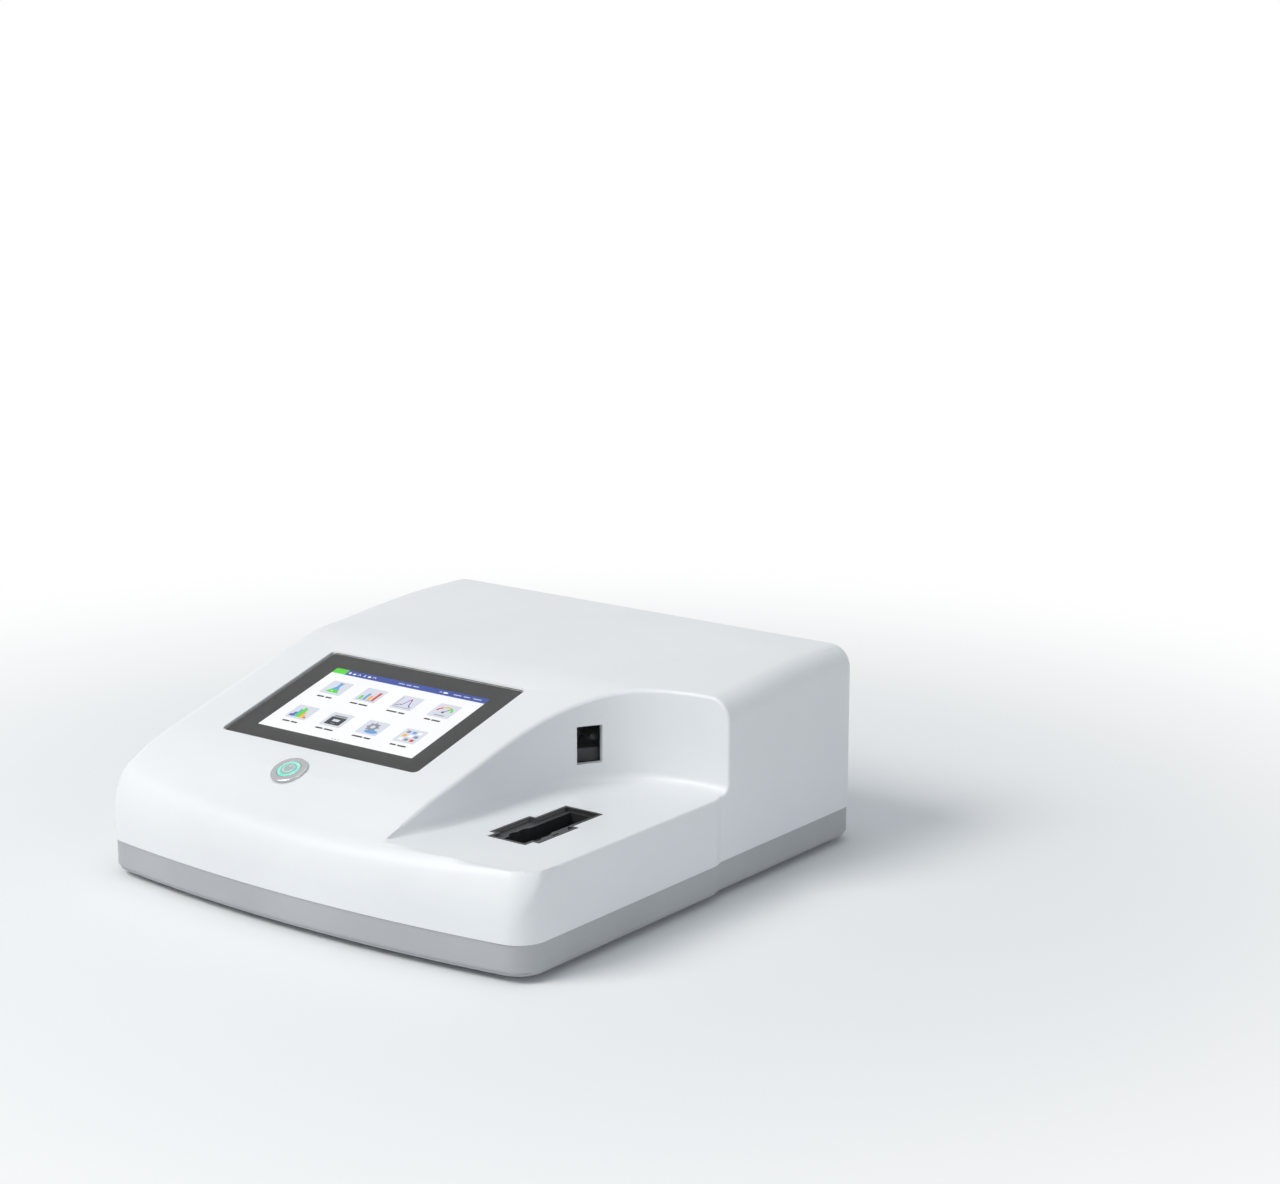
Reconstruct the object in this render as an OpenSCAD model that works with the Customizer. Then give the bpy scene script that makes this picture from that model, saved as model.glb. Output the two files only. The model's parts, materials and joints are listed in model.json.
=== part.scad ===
// Bench spectrophotometer with a touch screen, a round metal power switch,
// a low deck with a cuvette slot and a scanner window in the curved wall behind it.
// Millimetres. X to the right, Y to the rear, Z up. Origin on the table, under the middle.

/* [Housing] */
// Width from the left side to the deck skirt on the right
body_w = 286; // [280:1:300]
// Depth from the front bow to the rear wall
body_d = 300; // [296:1:310]
// Height of the highest line of the crown above the table
top_z = 110; // [107:0.5:114]
// Wall thickness of the plastic mouldings
wall = 2.5; // [2.2:0.1:2.8]
// Height of the joint between base tray and top shell
seam_z = 20; // [19:0.5:21.5]
// Drop of the crown from its highest line to the middle of the front bow
crown_drop = 61.5; // [58:0.5:64]
// Distance of the crown's highest line in front of the rear wall
crown_back = 33; // [28:1:38]
// Rounding of the crown along its left and right sides
side_r = 13; // [10:0.5:15]
// Rounding of the crown's rear edge
rear_r = 10; // [7:0.5:12]
// Radius of the bowed front, seen from above
bow_r = 905; // [850:5:1000]
// Radius by which the front face rolls back towards the crown
roll_r = 46; // [42:1:52]
// Height at which the front face starts to roll back
roll_z = 30; // [28:0.5:33]
// Rounding of the two front corners, seen from above
front_corner_r = 16; // [13:1:20]
// Rounding of the two rear corners, seen from above
rear_corner_r = 14; // [11:1:18]
// How far the deck skirt stands proud of the right side wall
skirt_step = 2; // [1.2:0.2:3]
// Distance behind the front bow at which the skirt ends
skirt_l = 164; // [158:1:170]
// Rounding of the deck's right edge and of the upright edge behind it
skirt_r = 1.5; // [0.8:0.1:2]

/* [Deck] */
// Height of the deck above the table
deck_z = 55; // [54:0.5:57]
// Width of the deck from the right side wall to the curved wall
deck_w = 82; // [80:1:86]
// Distance from the front bow to the rear of the curved wall
deck_l = 178; // [174:1:182]
// Length of the bend of the curved wall, along Y
bend_l = 94; // [88:1:98]
// Fullness of the bend: 2 is an ellipse, more is squarer
bend_n = 2.8; // [2.4:0.1:3.2]
// How far the curved wall swings outward at its front end
tail_w = 6; // [3:0.5:8]
// Rounding of the wall's top edge
edge_r = 2.5; // [1.5:0.1:3]
// Hollow fillet between the wall and the deck
base_r = 5; // [3:0.5:6]

/* [Display] */
// Display centre to the left of the housing's middle
disp_left = 36; // [32:1:40]
// Display centre behind the front bow
disp_front = 104; // [102:1:106]
// Width of the cover glass
glass_w = 136; // [134:0.5:138]
// Length of the cover glass along the slope
glass_l = 91; // [90:0.5:92]
// Thickness of the cover glass
glass_t = 1.8; // [1.5:0.1:2]
// Depth of the cover glass below the flat field around it
glass_sink = 0.8; // [0.5:0.1:1]
// Width of the dark border left and right of the lit area
border_w = 14; // [13:0.5:16]
// Width of the dark border in front of and behind the lit area
border_l = 13.1; // [12.5:0.1:14.5]
// Rounding of the glass corners
glass_r = 3; // [2:0.5:4]

/* [Power switch] */
// Switch centre in front of the display centre
btn_front = 64; // [62:0.5:66]
// Diameter of the metal flange
flange_d = 20; // [19:0.5:21]
// Diameter of the threaded barrel
barrel_d = 16; // [15.5:0.1:16.4]
// Diameter of the moving plunger
plunger_d = 13; // [12.4:0.1:13.2]
// Travel of the plunger
btn_travel = 1.2; // [0.8:0.1:1.5]

/* [Cuvette slot] */
// Slot centre to the left of the right side wall
slot_right = 42; // [41:0.5:43]
// Slot centre behind the front bow
slot_front = 80.7; // [79:0.1:82]
// Width of the insert
insert_w = 23.5; // [23:0.1:24.5]
// Length of the insert
insert_l = 61.5; // [60.5:0.1:63]
// Width of the insert across its two side bays
bay_w = 31; // [30:0.1:32]
// Length of the side bays
bay_l = 31; // [30:0.1:32]
// Distance of the bays' centre in front of the slot's centre
bay_front = 9.3; // [9:0.1:9.8]
// Diameter of the round cells that the slot takes
cell_d = 16; // [15.8:0.1:16.2]
// Width of the rectangular cells that the slot takes
cuvette_w = 12.5; // [12.4:0.1:12.6]
// Length of the longest rectangular cell that the slot takes
cuvette_l = 52.5; // [52:0.1:53]
// Travel of the spring-loaded nose that presses a cell to its seat
nose_travel = 1.5; // [1:0.1:1.8]

/* [Scanner window] */
// Place of the window along the bend, in degrees from the straight part
scan_turn = 38; // [35:0.5:41]
// Height of the window's centre above the deck
scan_rise = 20.3; // [19.5:0.1:21]
// Width of the window
scan_w = 14; // [13:0.1:14.6]
// Height of the window
scan_h = 20.3; // [19.5:0.1:21]

/* [Optics] */
// Height of the light beam above the table
beam_z = 31; // [30.6:0.1:31.6]
// Distance between entrance slit and exit slit
slit_gap = 63; // [62:0.5:64]
// Space between the optics box and the outside of the rear wall
optics_back = 30.35; // [29:0.05:34]
// Module of the small gears
gear_m = 0.6; // [0.6:0.05:0.6]
// Teeth of the grating gear
grating_teeth = 60; // [58:1:60]
// Teeth of the filter wheel
wheel_teeth = 64; // [60:1:64]
// Teeth of both motor pinions
pinion_teeth = 12; // [12:1:13]
// Number of filters in the wheel
filter_count = 6; // [5:1:6]
// Diameter of the lamp's glass bulb
bulb_d = 10; // [9:0.5:10.5]
// Width of the heat shield round the lamp
shield_w = 32; // [30:1:34]
// Height of the heat shield
shield_h = 44; // [40:1:46]
// Diameter of the motor that turns the grating
motor_d = 20; // [18:0.5:21]
// Diameter of the motor that turns the filter wheel
wheel_motor_d = 16; // [14:0.5:16.5]

/* [Base] */
// Height of the rubber feet
foot_h = 4; // [3.5:0.1:4.5]
// Diameter of the rubber feet
foot_d = 18; // [15:0.5:20]
// Distance of the feet from the sides
foot_side = 25; // [23:1:28]
// Distance of the feet from the front and rear
foot_end = 32; // [30:1:36]
// Diameter of the case screw shanks
screw_d = 3; // [2.8:0.1:3.2]
// Length of the battery pack
battery_l = 70; // [66:1:74]
// Width of the battery pack
battery_w = 38; // [36:1:40]

/* [Hidden] */
$fn = 48;

// Clearances: fit between mouldings, between a piece and its seat, and of a running shaft
fit = 0.3;
seat = 0.1;
run = 0.05;
// Small overlap that keeps cuts clear of a face they pass
cut = 0.5;

// Main places
half_w = body_w / 2;
main_x = half_w - skirt_step;
front_y = -body_d / 2;
rear_y = body_d / 2;
apex_y = rear_y - crown_back;
crown_run = apex_y - front_y;
crown_r = (crown_run * crown_run + crown_drop * crown_drop) / (2 * crown_drop);
bow_y = front_y + bow_r;
skirt_y = front_y + skirt_l;
skirt_run = 8;

// Display: its plane is parallel to the crown at the display's centre
disp_x = -disp_left;
disp_y = front_y + disp_front;
field_drop = 1;
disp_tilt = asin((apex_y - disp_y) / crown_r);
disp_z = arc_z(disp_y) - field_drop - glass_sink;
field_half = glass_l / 2 + 4;
field_blend = 42;

// Crown heights: one arc, blended into a flat field around the display, rounded at the rear
function arc_z(y) = top_z - crown_r + sqrt(crown_r * crown_r - (y - apex_y) * (y - apex_y));
function field_z(y) = disp_z + glass_sink + (y - disp_y) * tan(disp_tilt);
function ease(u) = u * u * (3 - 2 * u);
function field_weight(y) = 1 - ease(min(1, max(0, (abs(y - disp_y) - field_half) / field_blend)));
function crown_z(y) = arc_z(y) + field_weight(y) * (field_z(y) - arc_z(y));
function crown_tilt(y) = atan(crown_z(y + 0.5) - crown_z(y - 0.5));

// Points on a circle, and along a list of angles
function arc(c, r, a0, a1, n) = [for (i = [0:n])
    c + r * [cos(a0 + (a1 - a0) * i / n), sin(a0 + (a1 - a0) * i / n)]];

// Outline of the housing from above, set in by t
corner_x = half_w - front_corner_r;
corner_y = bow_y - sqrt(pow(bow_r - front_corner_r, 2) - corner_x * corner_x);
corner_a = atan2(corner_y - bow_y, corner_x);
function plan(t) = concat(
    arc([0, bow_y], bow_r - t, -180 - corner_a, corner_a, 16),
    arc([corner_x, corner_y], front_corner_r - t, corner_a, 0, 8),
    [for (i = [0:4]) [half_w - t - skirt_step * ease(i / 4), skirt_y + skirt_run * i / 4]],
    arc([main_x - rear_corner_r, rear_y - rear_corner_r], rear_corner_r - t, 0, 90, 8),
    arc([rear_corner_r - half_w, rear_y - rear_corner_r], rear_corner_r - t, 90, 180, 8),
    arc([-corner_x, corner_y], front_corner_r - t, 180, 180 - corner_a, 8));

// One half of the outline (s = 1 right, -1 left), from the middle of the front to the rear corner.
// Each entry: place, outward direction, share of the front's roll, radius of the top edge.
skirt_ys = [for (i = [0:4]) skirt_y + skirt_run * i / 4];
side_run = rear_y - rear_corner_r - skirt_y - skirt_run - 2;
side_ys = concat([for (i = [1:9]) corner_y + (skirt_y - 4 - corner_y) * i / 9], skirt_ys,
                 [for (i = [1:8]) skirt_y + skirt_run + side_run * i / 8]);
function side_x(y) = main_x + skirt_step * (1 - ease(min(1, max(0, (y - skirt_y) / skirt_run))));
function half_outline(s, t) = concat(
    [for (i = [0:8]) let(a = -90 + (corner_a + 90) * i / 8, n = [s * cos(a), sin(a)])
        [[0, bow_y] + (bow_r - t) * n, n, 1, side_r - t]],
    [for (i = [1:8]) let(a = corner_a * (1 - i / 8), n = [s * cos(a), sin(a)])
        [[s * corner_x, corner_y] + (front_corner_r - t) * n, n, 1 - ease(i / 8), side_r - t]],
    [for (y = side_ys) [[s > 0 ? side_x(y) - t : t - half_w, y], [s, 0], 0, side_r - t]],
    [for (i = [0:8]) let(a = 90 * i / 8, n = [s * cos(a), sin(a)],
        c = [s > 0 ? main_x - rear_corner_r : rear_corner_r - half_w, rear_y - rear_corner_r])
        [c + (rear_corner_r - t) * n, n, 0, side_r - t + (rear_r - side_r) * ease(i / 8)]]);

// Heights of the top edge at one place of the outline, for the angle a round the edge:
// the side is a quarter circle, the front rolls back by roll_r and eases into the crown
edge_steps = 9;
roll_ease = 7;
function roll_z_at(d, t) = let(r = roll_r - t) roll_z + sqrt(max(0, r * r - (r - d) * (r - d)));
function soft_min(a, b, k) = min(a, b) - pow(max(k - abs(a - b), 0), 2) / (4 * k);
function edge_point(q, a, t) = let(
    r = q[3], d = r * (1 - cos(a)), p = q[0] - d * q[1], inner = q[0] - r * q[1],
    k = max(0.2, min(roll_ease, roll_z_at(r, t) - crown_z(inner[1]) + t)),
    front_h = soft_min(crown_z(p[1]) - t, roll_z_at(d, t), k),
    side_h = crown_z(p[1]) - t - r + r * sin(a))
    [p[0], p[1], q[2] * front_h + (1 - q[2]) * side_h];

// Faces between m upright columns of h points each, the last column joined to the first
function column_walls(m, h) = [for (i = [0:m - 1], j = [0:h - 2]) let(a = i * h + j, b = (i + 1) % m * h + j)
    each [[a, a + 1, b + 1], [a, b + 1, b]]];

// The whole closed form of the housing above z0, set in by t: upright walls, rounded top edge, crown
module crowned_form(t, z0) {
    right = half_outline(1, t);
    left = half_outline(-1, t);
    n = len(right);
    line = concat(right, [for (i = [n - 1:-1:1]) left[i]]);
    m = len(line);
    h = edge_steps + 2;
    top = h - 1;
    columns = [for (q = line) concat([[q[0][0], q[0][1], z0]],
                                     [for (j = [0:edge_steps]) edge_point(q, 90 * j / edge_steps, t)])];
    polyhedron(
        points = [for (c = columns, q = c) q],
        faces = concat(
            [[for (i = [0:m - 1]) i * h]],
            column_walls(m, h),
            [[top, (m - 1) * h + top, h + top]],
            [for (i = [1:n - 2])
                [i * h + top, (m - i) * h + top, (m - i - 1) * h + top, (i + 1) * h + top]]));
}

// Curved wall behind the deck: a squarish quarter ellipse that runs out towards the front
wall_x = main_x - deck_w;
bend_y = front_y + deck_l - bend_l;
tail_l = 64;
function bend_point(a) =
    [main_x - deck_w * pow(cos(a), 2 / bend_n), bend_y + bend_l * pow(sin(a), 2 / bend_n)];
wall_curve = concat(
    [[main_x + 20, bend_y + bend_l]],
    [for (a = [90:-5:5]) bend_point(a)],
    [for (s = [0, 14, 28, 42, 52, 60, 66, 84, 98])
        [wall_x - tail_w * pow(min(s / tail_l, 1.2), 3), bend_y - s]]);
wall_n = len(wall_curve);
function bend_normal(i) = let(
    a = wall_curve[max(i - 1, 0)], b = wall_curve[min(i + 1, wall_n - 1)], d = b - a)
    [d[1], -d[0]] / norm(d);
function wall_h(y) = max(0.6, crown_z(y) - deck_z);

// Space above the deck, grown by t into the wall and the deck, with the hollow fillet at the wall's foot
module deck_cut(t) {
    steps = 5;
    h = steps + 2;
    feet = [for (i = [0:wall_n - 1]) let(r = min(base_r, 0.45 * wall_h(wall_curve[i][1])) + t)
        concat([for (j = [0:steps]) let(a = 90 * j / steps)
                   [wall_curve[i] + (t - r + r * sin(a)) * bend_normal(i), deck_z - t + r * (1 - cos(a))]],
               [[wall_curve[i] + t * bend_normal(i), top_z + 20]])];
    far = [for (p = [[wall_x - tail_w - t, front_y - 20], [main_x + 20, front_y - 20]])
        [for (j = [0:h - 1]) [p, deck_z - t + (top_z + 20 - deck_z + t) * j / (h - 1)]]];
    columns = concat(feet, far);
    m = len(columns);
    polyhedron(
        points = [for (c = columns, q = c) [q[0][0], q[0][1], q[1]]],
        faces = concat(
            [[for (i = [0:m - 1]) i * h]],
            [[for (i = [m - 1:-1:0]) i * h + h - 1]],
            column_walls(m, h)));
}

// Rounding of an outer edge. Each entry of the path: place on the sharp edge, direction into the body
// under the first face, outward direction of the first face, radius. The arc's ends run out through the faces.
edge_turn = [6, 19, 32, 45, 58, 71, 84];
function edge_shape(r) = let(e = 0.92 * r + 1.35) concat(
    [[-1.5, -e], [-0.3, -e]],
    [for (a = edge_turn) [r * (1 - cos(a)), -r * (1 - sin(a))]],
    [[e, 0.3], [e, 1.5], [-1.5, 1.5]]);
module edge_cut(path) {
    rings = [for (q = path) [for (c = edge_shape(q[3])) q[0] + c[0] * q[1] + c[1] * q[2]]];
    n = len(rings[0]);
    last = len(rings) - 1;
    polyhedron(
        points = [for (r = rings) each r],
        faces = concat(
            [[for (k = [0:n - 1]) k]],
            [[for (k = [n - 1:-1:0]) last * n + k]],
            [for (i = [0:last - 1], k = [0:n - 1]) let(a = i * n + k, b = i * n + (k + 1) % n)
                each [[a, a + n, b + n], [a, b + n, b]]]));
}
// One path: along the deck's right edge, up the fillet and the upright edge, round the crown's right edge,
// and along the wall's top edge to its front end
end_a = wall_curve[2];
end_b = wall_curve[1];
end_n = [end_a[1] - end_b[1], end_b[0] - end_a[0], 0] / norm(end_b - end_a);
function end_y(x) = end_a[1] + (end_b[1] - end_a[1]) * (x - end_a[0]) / (end_b[0] - end_a[0]);
function wall_slope(y, n) = (crown_z(y + n[1]) - crown_z(y - n[1])) / 2;
deck_edge_ys = concat([front_y + 20, front_y + 36, skirt_y - 60], skirt_ys);
housing_edge = concat(
    [for (y = deck_edge_ys)
        [[side_x(y), y, deck_z], [-1, 0, 0], [0, 0, 1], y < front_y + 30 ? 0.3 : skirt_r]],
    [for (a = [0:18:90]) [[main_x, end_b[1] - base_r + base_r * sin(a), deck_z + base_r * (1 - cos(a))],
                          [-1, 0, 0], [0, -sin(a), cos(a)], skirt_r]],
    [for (a = [90:-15:15]) let(x = main_x - side_r + side_r * sin(a), y = end_y(x))
        [[x, y, crown_z(y) - side_r + side_r * cos(a)], [-sin(a), 0, -cos(a)],
         -end_n - [0, 0, wall_slope(y, end_n) * cos(a)], edge_r + (skirt_r - edge_r) * a / 90]],
    [for (i = [2:wall_n - 1]) if (crown_z(wall_curve[i][1]) > deck_z + 2.2) let(
        p = wall_curve[i], n = bend_normal(i), z = crown_z(p[1]))
        [[p[0], p[1], z], [0, 0, -1], [-n[0], -n[1], -wall_slope(p[1], n)],
         min(edge_r, 0.35 * (z - deck_z))]]);

// The housing's form with the deck let into it
module body_form(t, z0) {
    difference() {
        crowned_form(t, z0);
        deck_cut(t);
        if (t == 0)
            edge_cut(housing_edge);
    }
}

// Local frames: the display's glass, the power switch and the scanner window
module at_display() {
    translate([disp_x, disp_y, disp_z])
        rotate([disp_tilt, 0, 0])
            children();
}
btn_y = disp_y - btn_front;
btn_tilt = crown_tilt(btn_y);
module at_switch() {
    translate([disp_x, btn_y, crown_z(btn_y)])
        rotate([btn_tilt, 0, 0])
            children();
}
scan_point = bend_point(scan_turn);
scan_tangent = bend_point(scan_turn - 1) - bend_point(scan_turn + 1);
scan_angle = atan2(scan_tangent[1], scan_tangent[0]);
scan_z = deck_z + scan_rise;
module at_scanner() {
    translate([scan_point[0], scan_point[1], scan_z])
        rotate([0, 0, scan_angle])
            children();
}

// Flat plate with rounded corners, centred, its top at z
module plate(w, l, r, z, h) {
    translate([0, 0, z - h])
        linear_extrude(h)
            polygon(concat(
                arc([w / 2 - r, l / 2 - r], r, 0, 90, 6), arc([r - w / 2, l / 2 - r], r, 90, 180, 6),
                arc([r - w / 2, r - l / 2], r, 180, 270, 6), arc([w / 2 - r, r - l / 2], r, 270, 360, 6)));
}

// Cuvette slot places
slot_x = main_x - slot_right;
slot_y = front_y + slot_front;
cell_y = slot_y - bay_front;
module slot_outline(grow) {
    translate([slot_x - insert_w / 2 - grow, slot_y - insert_l / 2 - grow])
        square([insert_w + 2 * grow, insert_l + 2 * grow]);
    translate([slot_x - bay_w / 2 - grow, cell_y - bay_l / 2 - grow])
        square([bay_w + 2 * grow, bay_l + 2 * grow]);
}

// Case screws: under each shell boss stands a tray boss on the same axis
boss_d = 8;
case_points = [[-half_w + 17, front_y + 40], [half_w - 18, front_y + 38], [-half_w + 15, front_y + 162],
               [main_x - 12, front_y + 190], [-half_w + 14, rear_y - 18], [main_x - 12, rear_y - 18]];
function under_shell(p) = let(z = crown_z(p[1] - boss_d / 2))
    p[0] > wall_x && p[1] < front_y + deck_l ? min(deck_z, z) : z;
screw_hole = screw_d / 2 + run;
tray_boss_top = seam_z + 1.7;
screw_top = 36;

// Display borders and panel
lit_w = glass_w - 2 * border_w;
lit_l = glass_l - 2 * border_l;

// Holder block and optics box: places along X and Y
holder_y1 = slot_y + insert_l / 2 + 1.2;
exit_x = slot_x;
entrance_x = slot_x - slit_gap;
grating_x = (entrance_x + exit_x) / 2;
mono_x0 = entrance_x - 14;
mono_x1 = exit_x + 17;
mono_y0 = holder_y1 + 16;
mono_y1 = rear_y - optics_back;
arm_l = mono_y1 - mono_y0 - 16;

// Main board: between the left wall and the optics box, up to the rear wall
board_z = 25;
board_t = 1.6;
board_top = board_z + board_t;
board_x0 = 22 - half_w;
board_x1 = mono_x0 - 17;
board_y0 = rear_y - body_d / 2 + 5;
board_y1 = rear_y - 15;
board_x = (board_x0 + board_x1) / 2;
board_y = (board_y0 + board_y1) / 2;
board_w = board_x1 - board_x0;
board_l = board_y1 - board_y0;

// Rear sockets: centre along X, width, height, of each opening in the rear wall
socket_list = [[board_x0 + 11, 10, 11], [board_x0 + 35, 16, 13.5],
               [board_x0 + 59, 14.5, 7], [board_x0 + 79, 14.5, 7]];
socket_gap = 0.4;

// Vent slots in the rear wall behind the lamp and optics
vent_count = 11;
vent_pitch = 7;
vent_w = 3;
vent_h = 26;
vent_x = grating_x - 5.5;
vent_z = seam_z + 42;

// Display stack, from the glass down
gasket_t = 0.5;
panel_w = lit_w + 13;
panel_l = lit_l + 11.2;
panel_t = 4;
seat_depth = 6.2;
frame_t = 1.2;
frame_screw_r = 1;
frame_screw_x = glass_w / 2 - 2.4;
frame_screw_y = glass_l / 2 - 3;
frame_under = seat_depth + seat + frame_t;

// Scanner pane behind the curved wall
pane_y = -3.4;
pane_t = 1.2;

// Tray floor, heads of the case screws, board screws, battery door
tray_floor = foot_h + wall;
head_d = 5.6;
small_screw_r = 1.5;
door_t = 1.5;

// Cell holder block under the insert
holder_w = 44;
holder_y0 = slot_y - insert_l / 2 - 8;
holder_z0 = tray_floor + seat;

// Monochromator: box heights, grating and mirror places
mono_wall = 3;
mono_z0 = tray_floor + 3.5;
mono_z1 = beam_z + 18;
grating_y = mono_y0 + 22;
mirror_dx = 8;
mirror_y = mono_y0 + arm_l;

module top_shell() color("white") {
    difference() {
        union() {
            difference() {
                body_form(0, seam_z);
                body_form(wall, seam_z - 2);
            }
            // Seat ring that carries the display from below
            at_display()
                plate(glass_w + 7, glass_l + 7, glass_r + 3, glass_sink - 0.4, seat_depth + glass_sink - 0.4);
            // Screw bosses
            for (p = case_points)
                translate([p[0], p[1], tray_boss_top + fit])
                    cylinder(d = boss_d, h = under_shell(p) - tray_boss_top - fit - 0.8);
            // Sleeve round the scanner window, flat inside for the pane
            at_scanner()
                translate([-scan_w / 2 - 2, pane_y, -scan_h / 2 - 2])
                    cube([scan_w + 4, -pane_y - 0.6, scan_h + 4]);
        }
        // Pocket for the glass, opening for the panel, holes for the frame screws
        at_display() {
            plate(glass_w + 2 * fit, glass_l + 2 * fit, glass_r + fit, 12, 12 + glass_t + gasket_t);
            plate(panel_w + 2 * fit, panel_l + 2 * fit, 1, 2, 20);
            for (sx = [-1, 1], sy = [-1, 1])
                translate([sx * frame_screw_x, sy * frame_screw_y, -seat_depth - 1])
                    cylinder(r = frame_screw_r + run, h = 4);
        }
        // Power switch: hole for the barrel and a flat for the flange
        at_switch() {
            translate([0, 0, -20])
                cylinder(d = barrel_d + 2 * fit, h = 30);
            translate([0, 0, -0.3])
                cylinder(d = flange_d + 2 * fit, h = 5);
        }
        // Opening for the cuvette insert
        translate([0, 0, deck_z - 10])
            linear_extrude(20)
                slot_outline(fit);
        // Scanner window
        at_scanner()
            translate([-scan_w / 2, -20, -scan_h / 2])
                cube([scan_w, 30, scan_h]);
        // Screw holes in the bosses
        for (p = case_points)
            translate([p[0], p[1], seam_z - 2])
                cylinder(r = screw_hole, h = screw_top + 2 - seam_z);
        // Rear sockets and vents
        for (s = socket_list)
            translate([s[0] - s[1] / 2 - socket_gap, rear_y - wall - 2, board_top - socket_gap])
                cube([s[1] + 2 * socket_gap, wall + 4, s[2] + 2 * socket_gap]);
        for (i = [0:vent_count - 1])
            translate([vent_x + (i - (vent_count - 1) / 2) * vent_pitch - vent_w / 2,
                       rear_y - wall - 2, vent_z - vent_h / 2])
                cube([vent_w, wall + 4, vent_h]);
    }
}

// Base tray: floor, upright walls, a lip inside the shell, bosses and the battery bay
tray_inset = 0.6;
lip_t = 1.6;
lip_h = 3.5;
battery_x = battery_l / 2 + 20 - half_w;
battery_y = front_y + 68;
bay_wall = 2;
door_lip = 2;
door_w = battery_l + 2 * fit;
door_l = battery_w + 16;
door_screw_y = battery_w / 2 + 4.5;
foot_points = [for (sx = [-1, 1], ey = [front_y + foot_end, rear_y - foot_end])
    [sx * (half_w - foot_side), ey]];
stem_d = 6;
board_points = [for (sx = [-1, 1], sy = [-1, 1])
    [board_x + sx * (board_w / 2 - 6), board_y + sy * (board_l / 2 - 6)]];
mono_points = [[mono_x0 - 5, mono_y0 + 14], [mono_x0 - 5, mono_y1 - 14],
               [mono_x1 + 5, mono_y0 + 36], [mono_x1 + 5, mono_y1 - 14]];

module base_tray() color("gainsboro") {
    difference() {
        union() {
            difference() {
                union() {
                    translate([0, 0, foot_h + 2])
                        linear_extrude(seam_z - fit - foot_h - 2)
                            polygon(plan(tray_inset));
                    translate([0, 0, foot_h])
                        linear_extrude(2)
                            polygon(plan(tray_inset + 1.2));
                    translate([0, 0, foot_h + 2])
                        linear_extrude(seam_z + lip_h - foot_h - 2)
                            polygon(plan(wall + fit));
                }
                translate([0, 0, tray_floor])
                    linear_extrude(top_z)
                        polygon(plan(wall + fit + lip_t));
            }
            // Case screw bosses, board posts, optics posts
            for (p = case_points)
                translate([p[0], p[1], foot_h + 1])
                    cylinder(d = boss_d + 1, h = tray_boss_top - foot_h - 1);
            for (p = board_points)
                translate([p[0], p[1], foot_h + 1])
                    cylinder(d = 7, h = board_z - foot_h - 1);
            for (p = mono_points)
                translate([p[0], p[1], foot_h + 1])
                    cylinder(d = 8, h = mono_z0 - foot_h - 1);
            // Battery bay walls
            translate([battery_x - battery_l / 2 - bay_wall - fit,
                       battery_y - battery_w / 2 - bay_wall - fit, foot_h + 1])
                difference() {
                    cube([battery_l + 2 * bay_wall + 2 * fit, battery_w + 2 * bay_wall + 2 * fit, 14]);
                    translate([bay_wall, bay_wall, -1])
                        cube([battery_l + 2 * fit, battery_w + 2 * fit, 20]);
                }
            // Stiffening ribs across the floor
            for (y = [front_y + 38, mono_y0 - 8.65, rear_y - 13])
                translate([43 - half_w, y, foot_h + 1])
                    cube([body_w - 86, 1.8, 4]);
        }
        // Case screws: clearance hole and head recess from below
        for (p = case_points)
            translate([p[0], p[1], foot_h - 1]) {
                cylinder(r = screw_hole + 0.2, h = 30);
                cylinder(d = head_d + 2 * fit, h = 4.5);
            }
        for (p = board_points)
            translate([p[0], p[1], board_z - 10])
                cylinder(r = small_screw_r + run, h = 12);
        for (p = mono_points)
            translate([p[0], p[1], tray_floor + 0.5])
                cylinder(r = small_screw_r + run, h = 20);
        // Foot stems
        for (p = foot_points)
            translate([p[0], p[1], foot_h - 1])
                cylinder(d = stem_d + 2 * seat, h = 12);
        // Battery opening with a rebate for its door
        translate([battery_x - door_w / 2, battery_y - battery_w / 2 - fit, foot_h - 1])
            cube([door_w, battery_w + 2 * fit, 10]);
        translate([battery_x - door_w / 2 - door_lip, battery_y - door_l / 2, foot_h - 1])
            cube([door_w + 2 * door_lip, door_l, 1 + door_t]);
        for (sy = [-1, 1])
            translate([battery_x, battery_y + sy * door_screw_y, foot_h - 1])
                cylinder(r = 0.9, h = 10);
        // Cooling slots under the lamp and the optics
        for (i = [0:7])
            translate([entrance_x - 12 + i * 8, lamp_y - 11.65, foot_h - 1])
                cube([3, 36, 10]);
    }
}

module feet() color("dimgray") {
    for (p = foot_points)
        translate([p[0], p[1], 0])
            rotate_extrude()
                polygon([[0, 0], [foot_d / 2 - 1, 0], [foot_d / 2, 1], [foot_d / 2, foot_h - seat],
                         [stem_d / 2, foot_h - seat], [stem_d / 2, foot_h + wall + 0.4],
                         [0, foot_h + wall + 0.4]]);
}

module battery_door() color("gainsboro") {
    difference() {
        translate([battery_x - door_w / 2 - door_lip + fit, battery_y - door_l / 2 + fit, foot_h])
            cube([door_w + 2 * door_lip - 2 * fit, door_l - 2 * fit, door_t - seat]);
        for (sy = [-1, 1])
            translate([battery_x, battery_y + sy * door_screw_y, foot_h - 1])
                cylinder(r = 1.2, h = 10);
        // Grip grooves
        for (i = [-2:2])
            translate([battery_x - 10, battery_y + i * 3 - 0.5, foot_h - 0.5])
                cube([20, 1, 1]);
    }
}

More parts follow.
